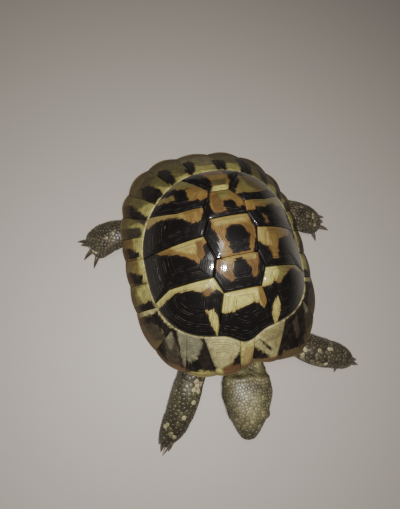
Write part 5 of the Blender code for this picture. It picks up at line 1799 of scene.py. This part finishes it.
@dataclass
class ScaleCoat:
    """Scales that cover the skin of one tube."""

    skin: Skin
    tube: Tube
    sizes: Callable                    # gives the spacing at points, and where scales are wanted
    seed: int
    gap: float = 0.10
    height: float = 0.34
    sunk: float = 0.18

    def seeds(self) -> np.ndarray:
        """Strews points over the tube, many more than there will be scales."""
        rng = np.random.default_rng(self.seed)
        along, across, upward = self.tube.axes()
        rows = self.tube.rows
        count = 150 * len(rows)
        pick = rng.integers(0, len(rows), count)
        turn = rng.uniform(0, 2 * math.pi, count)
        wide, tall = rows[pick, 3], np.where(np.sin(turn) > 0, rows[pick, 4], rows[pick, 5])
        jitter = rng.uniform(-0.5, 0.5, count) * self.tube.step
        return (rows[pick, :3] + across[pick] * (np.cos(turn) * wide)[:, None]
                + upward[pick] * (np.sin(turn) * tall)[:, None] + along[pick] * jitter[:, None])

    def scatter(self) -> None:
        """Picks the scales' middles on the skin, each far enough from those before it."""
        found = [self.skin.tree.find_nearest(spot) for spot in self.seeds()]
        found = [hit for hit in found if hit[3] is not None and hit[3] < 3.0]
        spots, normals = (np.array([hit[part] for hit in found]) for part in (0, 1))
        size, wanted = self.sizes(spots, normals)
        spots, normals, size = spots[wanted], normals[wanted], size[wanted]
        grid: dict[tuple, list] = {}
        kept = []
        for k, (x, y, z) in enumerate(np.floor(spots / size.max()).astype(int).tolist()):
            near = (other for dx, dy, dz in product((-1, 0, 1), repeat=3)
                    for other in grid.get((x + dx, y + dy, z + dz), ()))
            if all(math.dist(spots[k], spots[other]) >= 0.5 * (size[k] + size[other])
                   for other in near):
                kept.append(k)
                grid.setdefault((x, y, z), []).append(k)
        self.spots, self.normals, self.size = spots[kept], normals[kept], size[kept]
        self.share, self.angle, _ = self.tube.local(self.spots)
        self.first = unit(np.cross(self.normals, (0.3, 0.5, 0.81)))
        self.second = np.cross(self.normals, self.first)
        self.lift = self.lean() + self.normals * (
            self.sunk + self.height * np.minimum(1.3, self.size / 1.6))[:, None]

    def lean(self) -> np.ndarray:
        """How far each scale leans towards the foot or the back."""
        along = self.tube.axes()[0]
        way = along[(self.share * (len(along) - 1)).astype(int)]
        way = way - self.normals * (way * self.normals).sum(-1, keepdims=True)
        return unit(way) * (0.22 if self.tube.name.startswith(("fore", "hind")) else -0.05)

    @staticmethod
    def clip(corners: list, nx: float, ny: float, limit: float) -> list:
        """Cuts a flat polygon with the line nx*x + ny*y = limit."""
        result = []
        for (ax, ay), (bx, by) in zip(corners, corners[1:] + corners[:1]):
            da, db = nx * ax + ny * ay - limit, nx * bx + ny * by - limit
            if da <= 0:
                result.append((ax, ay))
            if da * db < 0:
                t = da / (da - db)
                result.append((ax + (bx - ax) * t, ay + (by - ay) * t))
        return result

    def cells(self) -> list:
        """Flat cell of every scale, as corner offsets in its own plane."""
        tree = KDTree(len(self.spots))
        for k, spot in enumerate(self.spots):
            tree.insert(spot, k)
        tree.balance()
        cells = []
        for k, (spot, reach) in enumerate(zip(self.spots, self.size)):
            corners = [(reach * 0.8 * math.cos(0.3 + turn * math.pi / 4),
                        reach * 0.8 * math.sin(0.3 + turn * math.pi / 4)) for turn in range(8)]
            for _, other, away in tree.find_n(spot, 14):
                off = self.spots[other] - spot
                x, y = off @ self.first[k], off @ self.second[k]
                length = math.hypot(x, y)
                facing = self.normals[other] @ self.normals[k]
                if away <= reach * 1.7 and facing >= 0.2 and length >= 1e-6:
                    share = reach / (reach + self.size[other])
                    corners = self.clip(corners, x / length, y / length,
                                        away * share - self.gap / 2)
            cells.append(corners)
        return cells

    def flat_mesh(self, light: np.ndarray, hue: np.ndarray) -> bpy.types.Mesh:
        """The cells laid on the skin, with what the tree and the finish read."""
        points, faces, owner = [], [], []
        for k, corners in enumerate(self.cells()):
            corners = self.simplify(corners, self.size[k])
            if len(corners) < 3:
                continue
            order = list(range(len(points), len(points) + len(corners)))
            faces.append(order if self.turns_left(corners) else order[::-1])
            owner += [k] * len(corners)
            points += [self.spots[k] + self.first[k] * x + self.second[k] * y
                       - self.normals[k] * self.sunk for x, y in corners]
        mesh = bpy.data.meshes.new("cells")
        mesh.from_pydata((self.settle(points, owner) * MM).tolist(), [], faces)
        store(mesh, "lift", self.lift[owner] * MM)
        store(mesh, "hue", hue[owner])
        store(mesh, "light", light[owner])
        store(mesh, "number", np.array(owner) + 0.5)
        return mesh

    def build(self, tree: bpy.types.NodeTree, maker: ScaleTree, material: bpy.types.Material) -> int:
        """Builds the coat piece.

        Args:
            tree: the node tree that raises the scales.
            maker: what applies that tree.
            material: the scales' finish.

        Returns:
            How many scales it has.
        """
        self.scatter()
        looks = FleshLook(self.skin).values(self.spots)
        light = looks["light"] + PaleScales(self.tube.name).extra(self.spots, self.seed)
        item = add_object("cells", self.flat_mesh(light, looks["hue"]))
        raised = maker.apply(tree, item, material)
        bpy.data.objects.remove(item)
        self.finish(raised)
        raised.name = self.tube.name + "_scales"
        dress(add_object(raised.name, raised), slot="skin")
        return len(self.spots)

    def settle(self, points: list, owner: list) -> np.ndarray:
        """Lays the cells' corners on the curved skin, a little sunk."""
        settled = np.array(points)
        for k, (point, scale) in enumerate(zip(points, owner)):
            hit, _, _, gap = self.skin.tree.find_nearest(point)
            if hit is not None and gap < 1.2:
                settled[k] = np.array(hit) - self.normals[scale] * self.sunk
        return settled

    @staticmethod
    def simplify(corners: list, size: float) -> list:
        """Drops corners that nearly coincide."""
        kept = []
        for corner in corners:
            if not kept or math.dist(corner, kept[-1]) > 0.09 * size:
                kept.append(corner)
        if len(kept) > 1 and math.dist(kept[0], kept[-1]) < 0.09 * size:
            kept.pop()
        return kept

    @staticmethod
    def turns_left(corners: list) -> bool:
        """Whether a flat polygon runs counter-clockwise."""
        return sum(a[0] * b[1] - b[0] * a[1] for a, b in zip(corners, corners[1:] + corners[:1])) > 0

    def finish(self, mesh: bpy.types.Mesh) -> None:
        """Moves the scales to the model, and adds their dome values and bake map."""
        count = len(mesh.vertices)
        places = np.empty(count * 3)
        mesh.vertices.foreach_get("co", places)
        places = places.reshape(-1, 3) / MM
        number = np.empty(count, np.float32)
        mesh.attributes["number"].data.foreach_get("value", number)
        owner = number.astype(int)
        off = places - self.spots[owner]
        dome = (off * self.normals[owner]).sum(-1) + self.sunk
        store(mesh, "dome", np.clip(dome / np.linalg.norm(self.lift[owner], axis=1), 0, 1))
        places[:, 2] = np.maximum(places[:, 2], 0.02)
        mesh.vertices.foreach_set("co", self.skin.place.to_metres(places).ravel())
        flat = np.stack([(off * self.first[owner]).sum(-1), (off * self.second[owner]).sum(-1)], axis=-1)
        patch = 0.0015 * np.clip(flat / self.size[owner, None] / 0.6, -1.0, 1.0)
        root = 0.02 + 0.96 * np.stack([self.angle / (2 * math.pi) + 0.5, self.share], axis=-1)
        corner = np.empty(len(mesh.loops), int)
        mesh.loops.foreach_get("vertex_index", corner)
        uv = mesh.uv_layers.new(name="OFBake")
        uv.data.foreach_set("uv", (root[owner] + patch)[corner].astype(np.float32).ravel())
        mesh.shade_smooth()


@dataclass(frozen=True)
class PaleScales:
    """Which scales are pale, by body part."""

    part: str
    # Middle, radius and share of pale scales of each pale group.
    places: dict = field(default_factory=lambda: {
        "foreleg_right": ((-26.4, -62.8, 23.4, 4.2, 0.8), (-41.2, -74.4, 16.8, 1.5, 1.0),
                          (-34.3, -76.8, 18.4, 2.0, 0.9), (-44.6, -83.9, 12.1, 1.5, 1.0),
                          (-41.7, -86.7, 11.2, 1.5, 1.0), (-45.4, -79.5, 12.5, 1.8, 0.9),
                          (-30.0, -70.0, 21.0, 3.0, 0.25)),
        "foreleg_left": ((36.0, -60.5, 22.5, 3.4, 0.5), (51.3, -61.3, 19.8, 1.4, 1.0),
                         (47.3, -67.8, 18.4, 1.4, 1.0), (43.2, -60.4, 22.6, 1.6, 0.8)),
        "hindleg_right": ((-66.1, 26.2, 12.7, 1.4, 0.7), (-66.4, 20.6, 9.2, 1.4, 1.0),
                          (-69.0, 22.7, 7.1, 1.2, 0.8), (-55.0, 24.7, 18.7, 3.4, 0.35)),
        "hindleg_left": ((67.2, 11.3, 11.1, 1.5, 1.0), (66.2, 17.0, 14.1, 1.3, 0.6)),
    })

    def extra(self, spots: np.ndarray, seed: int) -> np.ndarray:
        """Extra lightness of each scale."""
        rng = np.random.default_rng(seed + 90)
        chance = rng.uniform(size=len(spots))
        amount = rng.uniform(0.5, 1.0, len(spots))
        if self.part == "head":
            return 0.06 + 0.12 * (chance < 0.3) * amount
        if self.part in ("neck", "tail"):
            return 0.08 * (chance < 0.2)
        light = np.where(chance < 0.03, 0.22 * amount, 0.10 * (chance < 0.25))
        for x, y, z, radius, share in self.places[self.part]:
            near = np.linalg.norm(spots - (x, y, z), axis=1) < radius
            light = np.where(near & (chance < share), 0.30 + 0.16 * amount, light)
        return light


@dataclass
class Scaling:
    """Sizes of the scales over the whole body, and the pieces that carry them."""

    skin: Skin
    heights: dict = field(default_factory=lambda: {"neck": 0.12, "head": 0.20, "tail": 0.26})

    def hidden(self, spots: np.ndarray) -> np.ndarray:
        """Whether points lie so deep under the shell that no scale is needed."""
        shell = self.skin.bodywork.shell
        away, across, along = shell.polar(spots[:, 0], spots[:, 1])
        return away < 0.80 * shell.reach(across, along)

    def sizes(self, tube: Tube, spots: np.ndarray, normals: np.ndarray) -> tuple:
        """Spacing of the scales at points of a tube's skin, and whether any are wanted there."""
        if tube.name == "neck":
            return self.neck(spots)
        if tube.name == "head":
            return self.head(spots, normals)
        share = tube.local(spots)[0]
        if tube.name == "tail":
            return self.tail(spots, share)
        return self.leg(spots, normals, share, tube.name.startswith("fore"))

    def leg(self, spots: np.ndarray, normals: np.ndarray, share: np.ndarray, fore: bool) -> tuple:
        """Spacing on a leg: broad scales in front, small ones behind and on the toes."""
        front = smooth_step(-normals[:, 1] + 0.6 * normals[:, 2], -0.1, 0.8)
        broad = front * (1.1 * smooth_step(share, 0.20, 0.40) if fore
                         else 0.7 * smooth_step(share, 0.45, 0.65))
        size = 1.10 + broad - 0.35 * smooth_step(share, 0.9, 1.0)
        size = size * (1.0 + 0.12 * wave_noise(spots, 3.0, 11))
        return size, ~self.hidden(spots)

    def neck(self, spots: np.ndarray) -> tuple:
        """Spacing on the neck: small grains."""
        back = self.skin.bodywork.head.local(spots)[:, 0]
        size = 0.85 * (1.0 + 0.15 * wave_noise(spots, 3.0, 12))
        return size, ~self.hidden(spots) & (back > 29.0)

    def head(self, spots: np.ndarray, normals: np.ndarray) -> tuple:
        """Spacing on the head: shields on the crown and snout, grains at the lids and throat."""
        head = self.skin.bodywork.head
        local = head.local(spots)
        back, side, up = local[:, 0], np.abs(local[:, 1]), local[:, 2]
        crown = smooth_step(normals[:, 2], 0.35, 0.8)
        snout = 1.0 - smooth_step(back, 8.0, 13.0)
        size = 1.05 + crown * (0.18 + 0.9 * snout) - 0.2 * smooth_step(-normals[:, 2], 0.0, 0.6)
        eye = np.hypot(back - head.eye_back, up - head.eye_up)
        size = np.where((eye < 4.2) & (side > 7.5), 0.75, size)
        size = size * (1.0 + 0.10 * wave_noise(spots, 3.0, 13))
        line = np.abs(up - head.mouth_height(back))
        lips = (line < 1.5) & (back < 9.0) | (line < 0.55) & (back < 15.5)
        lids = (eye < 2.4) & (side > 8.5)
        temple = (((back - 21.5) / 4.6) ** 2 + ((up - 1.6) / 2.6) ** 2 < 1.0) & (side > 9.0)
        ear = (np.hypot(back - 22.6, up + 0.8) < 3.2) & (side > 8.0)
        beak = (back < 1.3) & (up < 2.6)
        return size, ~(lips | lids | temple | ear | beak) & (back < 30.5)

    def tail(self, spots: np.ndarray, share: np.ndarray) -> tuple:
        """Spacing on the tail."""
        size = (1.35 - 0.5 * share) * (1.0 + 0.1 * wave_noise(spots, 3.0, 14))
        return size, ~self.hidden(spots) | (share > 0.5)

    def build(self, material: bpy.types.Material) -> int:
        """Builds every coat piece and returns the number of scales."""
        maker = ScaleTree()
        tree = maker.build()
        total = 0
        for number, tube in enumerate(self.skin.tubes):
            coat = ScaleCoat(self.skin, tube, partial(self.sizes, tube), SEED + number,
                             height=self.heights.get(tube.name, 0.34))
            made = coat.build(tree, maker, material)
            log.info("%s: %d scales", tube.name, made)
            total += made
        return total


# ------------------------------------------------------------------ eyes and claws

@dataclass
class Eyes:
    """Two dark, wet eyeballs."""

    head: HeadForm
    place: Frame

    def finish(self) -> bpy.types.Material:
        """Dark brown iris round a black pupil, under a clear cornea."""
        finish = Finish("eye_finish", 0.25, 1.0, 0.02)
        ring = finish.attribute("ring")
        streak = finish.noise(0.25, 3.0)
        iris = finish.ramp(ring + (streak - 0.5) * 0.05, [
            (0.0, (0.004, 0.003, 0.003)), (0.36, (0.004, 0.003, 0.003)), (0.40, (0.030, 0.018, 0.010)),
            (0.62, (0.042, 0.026, 0.014)), (0.74, (0.020, 0.013, 0.009)), (1.0, (0.05, 0.042, 0.035))])
        finish.feed("Base Color", iris)
        return finish.material

    def build(self) -> int:
        """Builds both eyes and returns how many."""
        material = self.finish()
        forward, left, above = self.head.axes()
        for word, side in (("left", 1.0), ("right", -1.0)):
            centre = self.head.world(self.head.eye_back, side * self.head.eye_out, self.head.eye_up)
            look = unit(left * side + forward * 0.25 + above * 0.15)
            first = unit(np.cross(look, above))
            second = np.cross(first, look)
            tilt = np.linspace(0.0, math.pi, 34)[1:-1]
            turn = np.linspace(0.0, 2 * math.pi, 40, endpoint=False)
            rows = [centre + self.head.eye_radius * (
                look * math.cos(t) + math.sin(t) * (np.cos(turn)[:, None] * first
                                                    + np.sin(turn)[:, None] * second)) for t in tilt]
            points, faces = closed_rows(centre + look * self.head.eye_radius, np.array(rows),
                                        centre - look * self.head.eye_radius)
            ring = np.concatenate([[0.0], np.repeat(tilt / (math.pi / 2), len(turn)), [2.0]])
            item = make_object(f"eyeball_{word}", self.place.to_metres(points), faces, material,
                               {"ring": np.clip(ring, 0.0, 1.0)})
            face_outwards(item)
            dress(item, f"eye_{word}", slot="eye")
        return 2


@dataclass
class Claws:
    """Curved horn claws set in the toes."""

    place: Frame
    radius: float = 1.6
    feet: dict = field(default_factory=lambda: {
        "foreleg_right": (((-48.8, -86.8, 2.0), (-50.7, -90.4, 0.4)),
                          ((-48.3, -89.6, 2.6), (-50.4, -94.4, 0.5)),
                          ((-45.9, -91.2, 2.8), (-49.9, -96.4, 0.5)),
                          ((-44.2, -91.0, 2.6), (-46.4, -95.2, 0.4)),
                          ((-43.4, -89.0, 2.2), (-44.6, -92.8, 0.4))),
        "foreleg_left": (((66.4, -66.6, 2.2), (69.8, -67.0, 0.4)),
                         ((68.4, -68.8, 2.6), (72.2, -69.8, 0.4)),
                         ((69.8, -71.3, 2.8), (74.3, -72.7, 0.5)),
                         ((69.0, -73.2, 2.8), (74.4, -75.8, 0.5)),
                         ((59.4, -72.6, 2.0), (57.9, -76.6, 0.4))),
        "hindleg_right": (((-69.6, 28.8, 2.8), (-76.2, 30.4, 0.5)),
                          ((-70.2, 26.8, 3.0), (-74.6, 28.0, 0.5)),
                          ((-69.4, 21.8, 3.0), (-74.0, 18.6, 0.5)),
                          ((-66.0, 18.0, 2.8), (-69.2, 12.4, 0.5))),
        "hindleg_left": (((74.4, 18.6, 2.8), (80.2, 18.0, 0.5)),
                         ((75.0, 15.2, 3.0), (78.4, 14.8, 0.4)),
                         ((74.4, 11.4, 3.0), (80.6, 9.0, 0.5)),
                         ((68.2, 8.6, 2.8), (69.8, 3.6, 0.5))),
    })

    def finish(self) -> bpy.types.Material:
        """Dark glossy horn, paler at the root, with a painted highlight stripe along its top."""
        finish = Finish("claw_horn", 0.30, 0.8, 0.10)
        along = finish.attribute("along")
        fine = finish.noise(0.3, 4.0)
        horn = finish.mix((along + (fine - 0.5) * 0.4).step(0.1, 0.9), (0.060, 0.042, 0.025),
                          (0.018, 0.012, 0.008))
        # Painted highlight: a pale stripe along the claw's top that fades before the tip.
        painted_highlight = finish.attribute("painted_highlight") * (1.0 - along.step(0.85, 1.0))
        finish.feed("Base Color", finish.mix(painted_highlight, horn, (0.42, 0.37, 0.27)))
        finish.feed("Roughness", 0.24 + fine * 0.2)
        finish.bump(fine, 0.05, 0.6)
        return finish.material

    def build(self) -> int:
        """Builds the claws of every foot and returns how many."""
        material = self.finish()
        count = 0
        for foot, claws in self.feet.items():
            for number, (root, tip) in enumerate(claws, start=1):
                count += 1
                # Claw 3 of the right foreleg gets a strong painted highlight stripe, the others a faint one.
                painted_highlight_strength = 0.9 if (foot, number) == ("foreleg_right", 3) else 0.15
                self.build_one(f"{foot}_claw_{number}", root, tip, painted_highlight_strength, material)
        return count

    def build_one(self, name: str, root: tuple, tip: tuple, painted_highlight_strength: float,
                  material: bpy.types.Material) -> None:
        """Builds one claw as a bent cone.

        Args:
            name: the piece's name.
            root: where the claw leaves the toe.
            tip: its point.
            painted_highlight_strength: how strong the painted highlight stripe along its top is.
            material: its finish.
        """
        start, end = np.array(root, float), np.array(tip, float)
        along = unit(end - start)
        start = start - along * 3.0
        across = unit(np.cross(along, [0.0, 0.0, 1.0]))
        upward = np.cross(across, along)
        shares = np.linspace(0.0, 0.97, 12)
        turn = np.linspace(0.0, 2 * math.pi, 14, endpoint=False)
        rows = []
        for share in shares:
            arch = self.radius * (2.0 * share * (1 - share))
            middle = start + (end - start) * share + upward * arch
            wide = self.radius * (1.0 - share ** 1.9) * 0.98 + 0.05
            rows.append(middle + across * (np.cos(turn) * wide * 0.92)[:, None]
                        + upward * (np.sin(turn) * wide)[:, None])
        points, faces = closed_rows(start, np.array(rows), end)
        points[:, 2] = np.maximum(points[:, 2], 0.0)
        # Painted highlight: a narrow stripe on the upper side of each row of the claw.
        highlight_stripe = np.tile(painted_highlight_strength * smooth_step(np.sin(turn + 0.35), 0.86, 0.97), len(shares))
        item = make_object(name, self.place.to_metres(points), faces, material, {
            "along": np.concatenate([[0.0], np.repeat(shares, len(turn)), [1.0]]),
            "painted_highlight": np.concatenate([[0.0], highlight_stripe, [0.0]])})
        face_outwards(item)
        dress(item)


# ------------------------------------------------------------------ studio

@dataclass(frozen=True)
class Studio:
    """The camera, the floor and the lights."""

    place: Frame
    eye: tuple = (-44.51, -38.37, 231.11)
    aim: tuple = (-5.34, 9.27, 0.0)
    roll: float = 27.76                # turn about the line of sight, in degrees
    lens: float = 27.51

    def looking(self, spot: tuple, aim: tuple) -> Matrix:
        """Place and turn of a camera or light at one spot that looks at another."""
        start, end = Vector(self.place.to_metres(spot)), Vector(self.place.to_metres(aim))
        turn = (start - end).to_track_quat("Z", "Y").to_matrix().to_4x4()
        return Matrix.Translation(start) @ turn

    def build_camera(self) -> None:
        """Makes the camera at its viewing place."""
        data = bpy.data.cameras.new("camera")
        data.lens = self.lens
        data.clip_start = 0.01
        camera = add_object("camera", data)
        turn = Matrix.Rotation(math.radians(self.roll), 4, "Z")
        camera.matrix_world = self.looking(self.eye, self.aim) @ turn
        bpy.context.scene.camera = camera

    def build_floor(self) -> None:
        """Makes a plain pale floor."""
        reach = 3.0
        corners = np.array([(-reach, -reach, 0), (reach, -reach, 0), (reach, reach, 0),
                            (-reach, reach, 0)], float)
        finish = Finish("floor_finish", 0.6)
        finish.shader.inputs["Base Color"].default_value = (0.40, 0.36, 0.32, 1.0)
        floor = make_object("floor", corners, [(0, 1, 2, 3)], finish.material)

    def add_light(self, name: str, spot: tuple, size: float, power: float, colour: tuple) -> None:
        """Adds a square soft light that looks at the shell.

        Args:
            name: the light's name.
            spot: its place in the shell's frame.
            size: its side in millimetres.
            power: its power in watts.
            colour: its colour.
        """
        data = bpy.data.lights.new(name, "AREA")
        data.size = size * MM
        data.energy = power
        data.color = colour
        add_object(name, data).matrix_world = self.looking(spot, (0.0, 0.0, 35.0))

    def build_lights(self) -> None:
        """Adds soft daylight, a key light and a small light near the camera."""
        world = bpy.data.worlds.new("studio")
        world.use_nodes = True
        daylight = world.node_tree.nodes["Background"].inputs
        daylight["Color"].default_value = (0.93, 0.95, 1.0, 1.0)
        daylight["Strength"].default_value = 0.055
        bpy.context.scene.world = world
        self.add_light("key", (-80, 20, 420), 90, 0.26, (1.0, 0.97, 0.93))
        self.add_light("flash", (-46, -52, 262), 14, 0.98, (1.0, 0.99, 0.96))

    def build(self) -> None:
        """Makes the camera, the floor and the lights."""
        self.build_camera()
        self.build_floor()
        self.build_lights()


def main() -> None:
    """Builds every piece in order and reports it."""
    logging.basicConfig(level=logging.INFO, format="%(name)s: %(message)s")
    shell = ShellForm()
    seams = SeamForm(shell)
    place = Frame.from_shell(shell.centre_y + shell.rear_reach + 0.8)
    Studio(place).build()
    log.info("studio at %s", place.origin)
    plastron = PlastronForm(shell)
    carapace = Carapace(shell, seams, plastron, place)
    horn = HornFinish("horn").build()
    log.info("back: %d plates", carapace.build_back(horn))
    log.info("rim: %d plates", carapace.build_rim(horn))
    log.info("belly: %d plates", Plastron(plastron, seams, place).build(horn))
    head = HeadForm()
    skin = Skin(Bodywork(shell, seams, plastron, head), place)
    skin.build(FleshFinish("skin_finish", roughness=0.5).build())
    log.info("skin: %d faces", len(skin.item.data.polygons))
    scales = FleshFinish("scale_finish", roughness=0.45, coat=0.14, grain=0.05, scaled=True)
    log.info("scales: %d", Scaling(skin).build(scales.build()))
    log.info("eyes: %d", Eyes(head, place).build())
    log.info("claws: %d", Claws(place).build())


if __name__ == "__main__":
    main()
